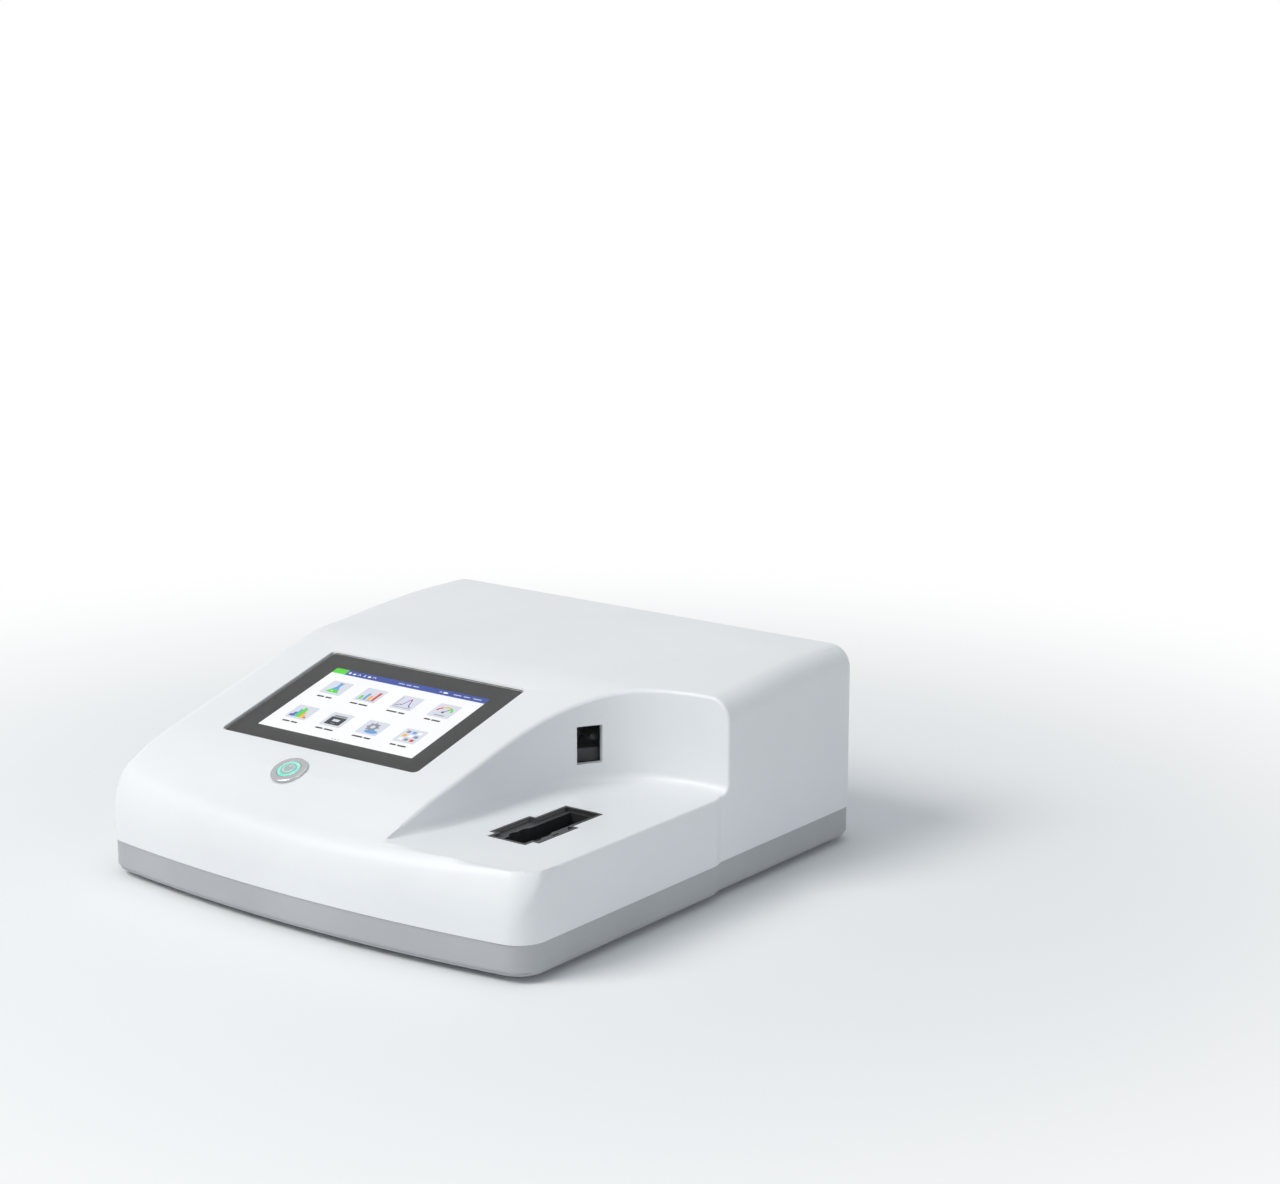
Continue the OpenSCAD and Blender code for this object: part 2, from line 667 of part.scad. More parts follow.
// Two rows of cells shrink-wrapped side by side, lying on the door
cell_gap = 0.6;
module battery_pack() color("royalblue") {
    d = (battery_w - cell_gap) / 2;
    translate([battery_x - battery_l / 2, battery_y, foot_h + door_t + d / 2]) {
        for (s = [-1, 1])
            translate([0, s * (d + cell_gap) / 2, 0])
                rotate([0, 90, 0])
                    cylinder(d = d, h = battery_l);
        translate([2, -d / 2, -1])
            cube([battery_l - 4, d, 2]);
    }
}

module screw(p, z_head, z_tip, r, head_r, head_h) {
    translate([p[0], p[1], z_head])
        rotate_extrude($fn = 32)
            polygon([[0, 0], [head_r, 0], [head_r, head_h], [r, head_h],
                     [r, z_tip - z_head], [0, z_tip - z_head]]);
}
module case_screws() color("silver") {
    difference() {
        for (p = case_points)
            screw(p, foot_h + 1.4, screw_top - 2, screw_d / 2, head_d / 2, 2);
        for (p = case_points)
            translate([p[0], p[1], foot_h + 1])
                cylinder(d = 2.5, h = 1.6, $fn = 6);
    }
    // Door screws
    for (sy = [-1, 1])
        screw([battery_x, battery_y + sy * door_screw_y], foot_h - 0.9, tray_floor - 0.2, 0.85, 1.9, 0.8);
}

// Display parts
module display_glass() color([0.2, 0.2, 0.2]) {
    at_display()
        plate(glass_w, glass_l, glass_r, 0, glass_t);
}
module display_gasket() color("black") {
    at_display()
        difference() {
            plate(glass_w - 0.4, glass_l - 0.4, glass_r, -glass_t, gasket_t);
            plate(panel_w + 1, panel_l + 1, 1, 1, 10);
        }
}
module lcd_panel() color("lightsteelblue") {
    at_display() {
        plate(panel_w, panel_l, 0.6, -glass_t - seat, panel_t);
        // Lit layer, slightly thicker than its frame
        plate(lit_w, lit_l, 0.6, -glass_t - 0.05, 1);
    }
}
post_x = glass_w / 2 - 18;
post_y = glass_l / 2 - 15.5;
module display_frame() color("silver") {
    at_display()
        difference() {
            union() {
                plate(glass_w + 4, glass_l + 2, 2, -seat_depth - seat, frame_t);
                for (sx = [-1, 1], sy = [-1, 1])
                    translate([sx * post_x, sy * post_y, -frame_under - 4])
                        cylinder(r = 2.5, h = 4.2);
            }
            plate(glass_w - 46, glass_l - 41, 4, 1, 20);
            for (sx = [-1, 1], sy = [-1, 1]) {
                translate([sx * frame_screw_x, sy * frame_screw_y, -20])
                    cylinder(r = frame_screw_r + 0.2, h = 20);
                translate([sx * post_x, sy * post_y, -20])
                    cylinder(r = 1, h = 20);
            }
        }
}
module display_board() color("darkgreen") {
    at_display() {
        difference() {
            plate(glass_w - 24, glass_l - 19, 1, -frame_under - 4.1, board_t);
            for (sx = [-1, 1], sy = [-1, 1])
                translate([sx * post_x, sy * post_y, -20])
                    cylinder(r = 1.2, h = 20);
        }
        // Driver chips, memory and the ribbon connector
        for (c = [[-30, 8, 14, 14, 1.6], [2, 8, 10, 10, 1.2], [24, -6, 8, 6, 1.2], [-6, -20, 20, 5, 2]])
            translate([c[0] - c[2] / 2, c[1] - c[3] / 2, -frame_under - 4.1 - board_t - c[4]])
                cube([c[2], c[3], c[4]]);
    }
}
// Flat ribbon from the display board down to the main board
ribbon_w = 20;
ribbon_t = 0.5;
ribbon_x = disp_x - 6;
ribbon_top = [disp_y - 12, disp_z - frame_under - 4.1 - board_t - 6];
ribbon_end = [board_y0 + 12, board_top + 2.7];
// Shares of the way along Y and of the height left
ribbon_bends = [[0, 1], [0.01, 0.87], [0.06, 0.71], [0.19, 0.55], [0.4, 0.445], [0.64, 0.365],
                [0.85, 0.285], [0.95, 0.18], [0.99, 0.045], [1, 0]];
ribbon_path = [for (k = ribbon_bends)
    [ribbon_top[0] + (ribbon_end[0] - ribbon_top[0]) * k[0],
     ribbon_end[1] + (ribbon_top[1] - ribbon_end[1]) * k[1]]];
ribbon_n = len(ribbon_path);
function ribbon_side(i) = let(d = ribbon_path[min(i + 1, ribbon_n - 1)] - ribbon_path[max(i - 1, 0)])
    ribbon_t / 2 * [d[1], -d[0]] / norm(d);
module display_ribbon() color("lightgray") {
    translate([ribbon_x - ribbon_w / 2, 0, 0])
        rotate([90, 0, 90])
            linear_extrude(ribbon_w)
                polygon(concat([for (i = [0:ribbon_n - 1]) ribbon_path[i] + ribbon_side(i)],
                               [for (i = [ribbon_n - 1:-1:0]) ribbon_path[i] - ribbon_side(i)]));
}

// Power switch: flange and barrel, nut, plunger and lit ring
barrel_l = 24;
ring_w = 0.9;
flange_h = 1.2;
module switch_body() color("silver") {
    at_switch()
        difference() {
            union() {
                rotate_extrude()
                    polygon([[0, -barrel_l], [barrel_d / 2, -barrel_l], [barrel_d / 2, -0.3],
                             [flange_d / 2, -0.3], [flange_d / 2, 0.5], [flange_d / 2 - 0.7, flange_h],
                             [0, flange_h]]);
                // Terminals
                for (x = [-4, 0, 4])
                    translate([x - 1, -0.4, -barrel_l - 5])
                        cube([2, 0.8, 6]);
            }
            translate([0, 0, -8])
                cylinder(d = plunger_d + 2 * run, h = 20);
        }
}
module switch_nut() color("silver") {
    at_switch()
        translate([0, 0, -wall - 3.1])
            difference() {
                cylinder(d = barrel_d + 6, h = 2.6, $fn = 6);
                translate([0, 0, -1])
                    cylinder(d = barrel_d + 2 * seat, h = 10);
            }
}
// Plunger with a shallow dome and a groove that holds the lit ring
dome_h = 0.5;
groove_r = plunger_d / 2 - 1.3;
plunger_bottom = -8 + btn_travel + 0.3;
module power_button() color("silver") {
    r = plunger_d / 2;
    at_switch()
        rotate_extrude()
            polygon([[0, plunger_bottom], [r, plunger_bottom], [r, flange_h],
                     [groove_r, flange_h + dome_h * 0.35], [groove_r, flange_h - 1],
                     [groove_r - ring_w, flange_h - 1],
                     [groove_r - ring_w, flange_h + dome_h * 0.55], [r * 0.35, flange_h + dome_h * 0.9],
                     [0, flange_h + dome_h]]);
}
module button_ring() color("aquamarine") {
    at_switch()
        rotate_extrude()
            polygon([[groove_r - ring_w + 0.03, flange_h - 0.97], [groove_r - 0.03, flange_h - 0.97],
                     [groove_r - 0.03, flange_h + dome_h * 0.35],
                     [groove_r - ring_w + 0.03, flange_h + dome_h * 0.52]]);
}

// Cuvette slot: insert flush with the deck, holder block below, sprung nose, detector
insert_bottom = 46;
rim_w = 1.6;
rim_depth = 1.8;
well_r = cell_d / 2 + 0.25;
well_w = cuvette_w + 0.5;
well_l = cuvette_l + 2.5;
well_bottom = 13;
module well(z0) {
    translate([0, 0, z0]) {
        translate([slot_x, cell_y, 0])
            cylinder(r = well_r, h = 60);
        translate([slot_x - well_w / 2, slot_y - well_l / 2, 0])
            cube([well_w, well_l, 60]);
    }
}
module cuvette_insert() color([0.09, 0.09, 0.09]) {
    difference() {
        translate([0, 0, insert_bottom])
            linear_extrude(deck_z - insert_bottom)
                slot_outline(0);
        translate([0, 0, deck_z - rim_depth])
            linear_extrude(10)
                slot_outline(-rim_w);
        well(insert_bottom - 1);
        // Lobes that leave room for finger tips beside a round cell
        for (s = [-1, 1])
            translate([slot_x + s * 4, cell_y - 7, insert_bottom - 1])
                cylinder(r = 5, h = 20);
        // Square pocket beside the round cell
        translate([slot_x + bay_w / 2 - rim_w - 4.4, cell_y + 2, deck_z - 6])
            cube([4, 5, 20]);
    }
}
beam_r = 3;
nose_x = slot_x + well_r + 0.2;
barrel_r = 3.4;
nose_r = 2.2;
nose_end = slot_x + holder_w / 2;
nose_out = 1.4;
nose_body = nose_end - nose_x - 2 - nose_travel - 0.3;
module cell_holder() color([0.15, 0.15, 0.16]) {
    difference() {
        translate([slot_x - holder_w / 2, holder_y0, holder_z0])
            cube([holder_w, holder_y1 - holder_y0, insert_bottom - holder_z0]);
        well(well_bottom);
        // Beam bores front and rear, and the seat for the detector can
        translate([slot_x, holder_y1 + 1, beam_z])
            rotate([90, 0, 0])
                cylinder(r = beam_r, h = holder_y1 - holder_y0 + 2);
        translate([slot_x, holder_y0 + 4, beam_z])
            rotate([90, 0, 0])
                cylinder(r = 4.2, h = 10);
        // Seat for the sprung nose's barrel
        translate([slot_x, cell_y, beam_z - 9])
            rotate([0, 90, 0])
                cylinder(r = barrel_r + seat, h = 40);
        // Relief under the block
        translate([slot_x - holder_w / 2 + 3, holder_y0 + 3, holder_z0 - 1])
            cube([holder_w - 6, holder_y1 - holder_y0 - 6, 4]);
    }
}
module at_nose() {
    translate([nose_x, cell_y, beam_z - 9])
        rotate([0, 90, 0])
            children();
}
module nose_barrel() color("silver") {
    length = nose_end - nose_x;
    at_nose()
        difference() {
            cylinder(r = barrel_r, h = length);
            translate([0, 0, -1])
                cylinder(r = nose_r + run, h = length - 1);
        }
}
module cell_nose() color("gold") {
    at_nose()
        rotate_extrude()
            polygon([[0, -nose_out], [1.2, -nose_out], [nose_r, -nose_out + 1],
                     [nose_r, nose_body], [0, nose_body]]);
}
module detector_board() color("darkgreen") {
    y = holder_y0 - seat;
    translate([slot_x - 13, y - board_t, beam_z - 12])
        cube([26, board_t, 24]);
    translate([slot_x, y, beam_z])
        rotate([-90, 0, 0])
            cylinder(r = 4, h = 3.6);
    for (s = [-1, 1])
        translate([slot_x + s * 8 - 2, y - board_t - 1.5, beam_z - 8])
            cube([4, 1.5, 6]);
}

// Scanner window: pane, dark tunnel with a ledge, reading module
tunnel_l = 14;
module scanner_window() color([0.6, 0.65, 0.7, 0.4]) {
    at_scanner()
        translate([-scan_w / 2 - 1.5, pane_y - seat - pane_t, -scan_h / 2 - 1.5])
            cube([scan_w + 3, pane_t, scan_h + 3]);
}
module scanner_tunnel() color([0.1, 0.1, 0.1]) {
    y1 = pane_y - 2 * seat - pane_t;
    at_scanner()
        difference() {
            translate([-scan_w / 2 - 1.5, y1 - tunnel_l, -scan_h / 2 - 1.5])
                cube([scan_w + 3, tunnel_l, scan_h + 3]);
            // Hollow with a ledge that slopes up towards the module
            translate([scan_w / 2, 0, 0])
                rotate([90, 0, -90])
                    linear_extrude(scan_w)
                        polygon([[-y1 - 1, -scan_h / 2 + 7], [-y1 + 6, -scan_h / 2 + 8.5],
                                 [-y1 + tunnel_l + 1, -scan_h / 2 + 9.5], [-y1 + tunnel_l + 1, scan_h / 2],
                                 [-y1 - 1, scan_h / 2]]);
        }
}
module scanner_module() color([0.16, 0.16, 0.17]) {
    y1 = pane_y - 3 * seat - pane_t - tunnel_l;
    at_scanner() {
        translate([-scan_w / 2 - 2, y1 - 12, -scan_h / 2 - 1])
            cube([scan_w + 4, 12, scan_h + 2]);
        // Lens and the aiming light beside it
        translate([3.2, y1 - 1, 4])
            rotate([-90, 0, 0])
                cylinder(r = 2.6, h = 4);
        translate([-3.4, y1 - 1, 5])
            rotate([-90, 0, 0])
                cylinder(r = 1.4, h = 2.5);
    }
}

// Monochromator: housing with floor, walls and ears
module mono_housing() color([0.18, 0.18, 0.19]) {
    difference() {
        union() {
            translate([mono_x0, mono_y0, mono_z0])
                cube([mono_x1 - mono_x0, mono_y1 - mono_y0, mono_z1 - mono_z0]);
            for (p = mono_points)
                translate([p[0], p[1], mono_z0 + seat])
                    cylinder(d = 9, h = 4 - seat);
            for (p = mono_points)
                translate([p[0] - 4.5 + (p[0] < grating_x ? 4.5 : -4.5), p[1] - 4.5, mono_z0 + seat])
                    cube([9, 9, 4 - seat]);
        }
        difference() {
            translate([mono_x0 + mono_wall, mono_y0 + mono_wall, mono_z0 + mono_wall])
                cube([mono_x1 - mono_x0 - 2 * mono_wall, mono_y1 - mono_y0 - 2 * mono_wall, mono_z1]);
            // Bearing boss of the grating table
            translate([grating_x, grating_y, mono_z0])
                cylinder(r = 7, h = mono_wall + 4);
            // Baffle between the two light paths
            translate([grating_x - 1, grating_y + arm_l * 0.27, mono_z0])
                cube([2, arm_l * 0.32, mono_z1 - mono_z0 - 1]);
        }
        for (p = mono_points)
            translate([p[0], p[1], mono_z0 - 1])
                cylinder(r = small_screw_r + 0.2, h = 10);
        translate([grating_x, grating_y, mono_z0 + 1])
            cylinder(r = shaft_r + run, h = 20);
        // Light openings behind the two slits
        for (x = [entrance_x, exit_x])
            translate([x, mono_y0 + mono_wall + 1, beam_z])
                rotate([90, 0, 0])
                    cylinder(r = 4, h = mono_wall + 2);
    }
}
cover_t = 1.5;
module mono_cover() color("gray") {
    difference() {
        translate([mono_x0 + 0.2, mono_y0 + 0.2, mono_z1])
            cube([mono_x1 - mono_x0 - 0.4, mono_y1 - mono_y0 - 0.4, cover_t]);
        // Way in for the motor's shaft
        translate([grating_px, grating_py, mono_z1 - 1])
            cylinder(r = 5, h = 10);
    }
}
slit_t = 0.5;
module slit_plates() color("black") {
    for (x = [entrance_x, exit_x])
        translate([x - 7, mono_y0 - slit_t, beam_z - 7])
            difference() {
                cube([14, slit_t, 14]);
                translate([6.8, -1, 3])
                    cube([0.4, 3, 8]);
            }
}
// Mirrors face the point between slit and grating
function mirror_turn(mx, sx) = let(
    to_slit = [sx - mx, mono_y0 - mirror_y] / norm([sx - mx, mono_y0 - mirror_y]),
    to_grating = [grating_x - mx, grating_y - mirror_y] / norm([grating_x - mx, grating_y - mirror_y]),
    mid = to_slit + to_grating) atan2(mid[1], mid[0]) + 90;
mirror_list = [[entrance_x + mirror_dx, mirror_turn(entrance_x + mirror_dx, entrance_x)],
               [exit_x - mirror_dx, mirror_turn(exit_x - mirror_dx, exit_x)]];
mirror_w = 26;
mirror_h = 24;
mirror_t = 5;
module at_mirror(m) {
    translate([m[0], mirror_y, beam_z])
        rotate([0, 0, m[1]])
            children();
}
module mirrors() color("silver") {
    for (m = mirror_list)
        at_mirror(m)
            difference() {
                translate([-mirror_w / 2, 0, -mirror_h / 2])
                    cube([mirror_w, mirror_t, mirror_h]);
                translate([0, 1.2 - arm_l * 1.6, 0])
                    sphere(r = arm_l * 1.6, $fn = 240);
            }
}
module mirror_mounts() color("dimgray") {
    for (m = mirror_list)
        at_mirror(m) {
            translate([-mirror_w / 2, mirror_t + seat, mono_z0 + mono_wall + seat - beam_z])
                cube([mirror_w, 3, mirror_h / 2 + beam_z - mono_z0 - mono_wall - seat]);
            translate([-mirror_w / 2, -2, mono_z0 + mono_wall + seat - beam_z])
                cube([mirror_w, mirror_t + 4, beam_z - mirror_h / 2 - mono_z0 - mono_wall - 2 * seat]);
        }
}

// Grating table: shaft, disc and holder, with the gear above
shaft_r = 3;
table_z = mono_z0 + mono_wall + 4 + 0.3;
table_h = 2;
grating_w = 25;
grating_h = 20;
gear_z = beam_z + grating_h / 2 + 2.2;
gear_h = 3;
grating_pitch_r = gear_m * grating_teeth / 2;
pinion_pitch_r = gear_m * pinion_teeth / 2;
mesh_gap = 0.12;
grating_reach = grating_pitch_r + pinion_pitch_r + mesh_gap;
pinion_dir = 200;
grating_px = grating_x + grating_reach * cos(pinion_dir);
grating_py = grating_y + grating_reach * sin(pinion_dir);
module gear(teeth, h, bore) {
    p = gear_m * teeth / 2;
    tip = p + 0.8 * gear_m;
    root = p - 1.05 * gear_m;
    pitch_a = 360 / teeth;
    // Half angles of a tooth at root, pitch circle and tip
    root_a = 0.34 * pitch_a;
    mid_a = 0.21 * pitch_a;
    tip_a = 0.1 * pitch_a;
    linear_extrude(h)
        difference() {
            tooth = [[-root_a, root], [-mid_a, p], [-tip_a, tip], [tip_a, tip], [mid_a, p], [root_a, root]];
            polygon([for (i = [0:teeth - 1], q = tooth)
                q[1] * [cos(i * pitch_a + q[0]), sin(i * pitch_a + q[0])]]);
            circle(r = bore);
        }
}
module grating_table() color("dimgray") {
    translate([grating_x, grating_y, 0]) {
        translate([0, 0, mono_z0 + 1.3])
            cylinder(r = shaft_r, h = table_z - mono_z0 - 1.2);
        translate([0, 0, table_z])
            cylinder(r = 12, h = table_h);
        // Back plate of the grating and the stub that carries the gear
        translate([-grating_w / 2, -4, table_z + table_h - 0.1])
            cube([grating_w, 4, gear_z - table_z - table_h - 0.1]);
        translate([0, 0, gear_z - 3])
            cylinder(r = 6, h = 2.8);
        translate([0, 0, gear_z - 0.3])
            cylinder(r = shaft_r, h = gear_h + 0.6);
    }
}
module grating() color("mediumpurple") {
    translate([grating_x - grating_w / 2, grating_y + seat, beam_z - grating_h / 2])
        difference() {
            cube([grating_w, 4, grating_h]);
            // Notch for the gear stub above
            translate([-1, -1, grating_h - 1.4])
                cube([grating_w + 2, 8, 5]);
        }
}
module grating_gear() color("goldenrod") {
    translate([grating_x, grating_y, gear_z])
        rotate([0, 0, pinion_dir])
            gear(grating_teeth, gear_h, shaft_r + 0.02);
}
motor_shaft_r = 1;
motor_z = mono_z1 + cover_t;
module grating_pinion() color("goldenrod") {
    translate([grating_px, grating_py, 0]) {
        translate([0, 0, gear_z])
            rotate([0, 0, pinion_dir + 180 + 180 / pinion_teeth])
                gear(pinion_teeth, gear_h, 0.3);
        translate([0, 0, gear_z + gear_h - 0.1])
            cylinder(r = motor_shaft_r, h = motor_z + 4 - gear_z - gear_h);
    }
}
motor_r = motor_d / 2;
module grating_motor() color("silver") {
    translate([grating_px, grating_py, motor_z]) {
        difference() {
            union() {
                cylinder(r = motor_r, h = 11);
                translate([-motor_r - 3.5, -3.5, 0])
                    cube([2 * motor_r + 7, 7, 0.8]);
            }
            translate([0, 0, -1])
                cylinder(r = motor_shaft_r + run, h = 6.2);
        }
        translate([-4, motor_r - 2, 2])
            cube([8, 5, 6]);
    }
}
module beam_splitter() color([0.8, 0.85, 0.9, 0.5]) {
    // Thin glass in the way of the beam, its foot, and the reference detector at its side
    translate([exit_x, mono_y0 + 11, 0]) {
        translate([0, 0, beam_z])
            rotate([0, 0, 45])
                cube([10, 1, 12], center = true);
        translate([-6, -6, mono_z0 + mono_wall + seat])
            cube([12, 12, beam_z - 6 - mono_z0 - mono_wall - 2 * seat]);
        translate([mono_x1 - mono_wall - exit_x - 1.6 - seat, -8, beam_z - 8])
            cube([1.6, 16, 14]);
        translate([mono_x1 - mono_wall - exit_x - 1.7 - seat, 0, beam_z])
            rotate([0, -90, 0])
                cylinder(r = 3, h = 3);
    }
}

// Filter wheel: toothed disc on a pin in front of the exit slit
wheel_t = 3;
wheel_y = mono_y0 - 8;
filter_ring = 14;
wheel_x = exit_x - filter_ring;
wheel_pin_r = 1.5;
filter_r = 4;
wheel_pitch_r = gear_m * wheel_teeth / 2;
wheel_reach = wheel_pitch_r + pinion_pitch_r + mesh_gap;
module at_wheel() {
    translate([wheel_x, wheel_y, beam_z])
        rotate([90, 0, 0])
            children();
}
module filter_wheel() color("dimgray") {
    at_wheel()
        difference() {
            union() {
                rotate([0, 0, 180])
                    gear(wheel_teeth, wheel_t, wheel_pin_r + run);
                translate([0, 0, -1])
                    linear_extrude(wheel_t + 2)
                        difference() {
                            circle(r = 4);
                            circle(r = wheel_pin_r + run);
                        }
            }
            for (i = [0:filter_count - 1])
                rotate([0, 0, i * 360 / filter_count])
                    translate([filter_ring, 0, -1])
                        cylinder(r = filter_r, h = wheel_t + 3);
        }
}
module filters() color("orange") {
    at_wheel()
        for (i = [0:filter_count - 1])
            rotate([0, 0, i * 360 / filter_count])
                translate([filter_ring, 0, 0.5])
                    cylinder(r = filter_r - 0.02, h = wheel_t - 1);
}
module wheel_bracket() color("gray") {
    // Plate screwed to the monochromator's front, with the wheel's pin
    at_wheel() {
        translate([0, 0, wheel_y - mono_y0 + seat]) {
            translate([-8, -8, 0])
                cube([14, 16, 2]);
            cylinder(r = 3.5, h = mono_y0 - wheel_y - 1 - 2 * seat - 0.2);
            cylinder(r = wheel_pin_r, h = mono_y0 - wheel_y + wheel_t + 2.4);
        }
        // Clip at the pin's end
        translate([0, 0, wheel_t + 1.2])
            cylinder(r = 2.8, h = 0.8);
    }
}
module wheel_pinion() color("goldenrod") {
    at_wheel()
        translate([-wheel_reach, 0, 0]) {
            rotate([0, 0, 180 / pinion_teeth])
                gear(pinion_teeth, wheel_t, 0.3);
            translate([0, 0, wheel_t - 0.1])
                cylinder(r = motor_shaft_r, h = 8);
        }
}
wheel_motor_r = wheel_motor_d / 2;
module wheel_motor() color("silver") {
    at_wheel()
        translate([-wheel_reach, 0, wheel_t + 3]) {
            difference() {
                union() {
                    cylinder(r = wheel_motor_r, h = 16);
                    // Foot that stands on the tray
                    translate([-wheel_motor_r, tray_floor + seat - beam_z, 0])
                        cube([2 * wheel_motor_r, beam_z - tray_floor - seat, 1.5]);
                    translate([-wheel_motor_r, tray_floor + seat - beam_z, 0])
                        cube([2 * wheel_motor_r, 1.5, 14]);
                }
                translate([0, 0, -1])
                    cylinder(r = motor_shaft_r + run, h = 7);
            }
        }
}

// Lamp: capsule bulb, ceramic socket, heat shield, condenser lens in its cell
lamp_y = mono_y0 - 33;
bulb_r = bulb_d / 2;
module lamp_bulb() color([0.9, 0.9, 0.85, 0.5]) {
    translate([entrance_x, lamp_y, socket_top + seat])
        rotate_extrude()
            polygon(concat([[0, 0], [bulb_r - 1.2, 0], [bulb_r, 3]],
                           [for (i = [0:8]) [bulb_r * cos(i * 11.25), 15 + bulb_r * sin(i * 11.25)]],
                           [[0, 16 + bulb_r]]));
}
socket_top = beam_z - 11;
module lamp_socket() color("ivory") {
    translate([entrance_x, lamp_y, 0])
        difference() {
            union() {
                translate([-9, -8, tray_floor + seat + 2])
                    cube([18, 16, socket_top - tray_floor - seat - 2]);
                translate([-14, -8, tray_floor + seat])
                    cube([28, 16, 2.4]);
            }
            for (s = [-1, 1])
                translate([s * 11.5, 0, tray_floor])
                    cylinder(r = 1.5, h = 10);
        }
}
shield_t = 0.8;
module lamp_shield() color("silver") {
    translate([entrance_x, lamp_y, tray_floor + seat])
        difference() {
            translate([-shield_w / 2, -12, 0])
                cube([shield_w, 22, shield_h]);
            translate([-shield_w / 2 + shield_t, -12 + shield_t, -1])
                cube([shield_w - 2 * shield_t, 40, shield_h + 10]);
            // Notch for the lead
            translate([-shield_w / 2 - 4, -3, 4])
                cube([8, 6, 7]);
            // Air slots
            for (i = [-2:2])
                translate([i * 5 - 1, -20, 14])
                    cube([2, 12, shield_h / 2]);
        }
}
lens_y = mono_y0 - 14;
lens_r = 9;
module condenser_lens() color([0.75, 0.85, 0.9, 0.4]) {
    translate([entrance_x, lens_y, beam_z])
        rotate([90, 0, 0])
            intersection() {
                cylinder(r = lens_r, h = 10, center = true);
                translate([0, 0, -16])
                    sphere(r = 19, $fn = 120);
                translate([0, 0, 19])
                    cube([40, 40, 40], center = true);
            }
}
module lens_cell() color("dimgray") {
    translate([entrance_x, lens_y, 0])
        difference() {
            union() {
                translate([0, 2.5, beam_z])
                    rotate([90, 0, 0])
                        cylinder(r = lens_r + 2.5, h = 5);
                translate([-6, -2.5, tray_floor + seat])
                    cube([12, 5, beam_z - tray_floor - lens_r]);
            }
            translate([0, 10, beam_z])
                rotate([90, 0, 0])
                    cylinder(r = lens_r + 0.02, h = 20);
        }
}
// Two-core lead from the lamp socket to the main board
plug_x = board_x1 - 10;
plug_y = board_y0 + 15;
lead_start = [entrance_x - 9 - seat, lamp_y, tray_floor + 7.5];
lead_bend = [plug_x + 5, plug_y - 40, tray_floor + 6.1];
lead_path = [lead_start, lead_start + [-6.9, 0, -0.4], lead_start + [-13.9, 3, -2],
             lead_bend + [6, -22, -1.2], lead_bend + [2, -12, -1], lead_bend,
             [plug_x + 3, plug_y - 28, board_z - 10],
             [plug_x + 1.6, plug_y - 20, board_z - 5], [plug_x + 0.6, plug_y - 17.6, board_top - 0.6],
             [plug_x, plug_y - 14, board_top + 3.4], [plug_x, plug_y - 9, board_top + 4.6],
             [plug_x, plug_y - 3 - seat, board_top + 4.4]];
lead_d = 3;
function knot(i) = lead_path[min(max(i, 0), len(lead_path) - 1)];
function along(i, u) = let(a = knot(i - 1), b = knot(i), c = knot(i + 1), d = knot(i + 2))
    0.5 * (2 * b + (c - a) * u + (2 * a - 5 * b + 4 * c - d) * u * u
           + (3 * b - a - 3 * c + d) * u * u * u);
module lamp_lead() color("firebrick") {
    sides = 8;
    steps = 2;
    n = len(lead_path);
    line = concat([for (i = [0:n - 2], k = [0:steps - 1]) along(i, k / steps)], [knot(n - 1)]);
    m = len(line);
    rings = [for (i = [0:m - 1]) let(d = line[min(i + 1, m - 1)] - line[max(i - 1, 0)], t = d / norm(d),
        u = cross(t, [1, 1, -1]), a = u / norm(u), b = cross(t, a))
        [for (k = [0:sides - 1])
            line[i] + lead_d / 2 * (a * cos(k * 360 / sides) + b * sin(k * 360 / sides))]];
    polyhedron(
        points = [for (r = rings) each r],
        faces = concat([[for (k = [0:sides - 1]) k]], [[for (k = [sides - 1:-1:0]) (m - 1) * sides + k]],
            [for (i = [0:m - 2], k = [0:sides - 1])
                [i * sides + k, (i + 1) * sides + k,
                 (i + 1) * sides + (k + 1) % sides, i * sides + (k + 1) % sides]]));
}

// Main board with its parts and the sockets at its rear edge
module main_board() color("darkgreen") {
    difference() {
        translate([board_x - board_w / 2, board_y - board_l / 2, board_z])
            cube([board_w, board_l, board_t]);
        for (p = board_points)
            translate([p[0], p[1], board_z - 1])
                cylinder(r = small_screw_r + 0.2, h = 5);
    }
}
// Parts on the board: share of its width and length, then width, length and height
part_shares = [[0.405, 0.42, 24, 24, 2.4], [0.68, 0.44, 14, 10, 1.6], [0.135, 0.5, 20, 14, 9],
               [0.135, 0.27, 16, 16, 12], [0.72, 0.67, 12, 18, 1.4], [0.405, 0.7, 10, 10, 3],
               [0.8, 0.3, 18, 8, 6], [0.325, 0.16, 8, 8, 10]];
part_list = concat(
    [for (c = part_shares) [board_x0 + c[0] * board_w, board_y0 + c[1] * board_l, c[2], c[3], c[4]]],
    [[ribbon_x, board_y0 + 12, 24, 5, 2.6], [plug_x, plug_y, 10, 6, 6]]);
module board_parts() color([0.13, 0.13, 0.14]) {
    for (c = part_list)
        translate([c[0] - c[2] / 2, c[1] - c[3] / 2, board_top])
            cube([c[2], c[3], c[4]]);
}
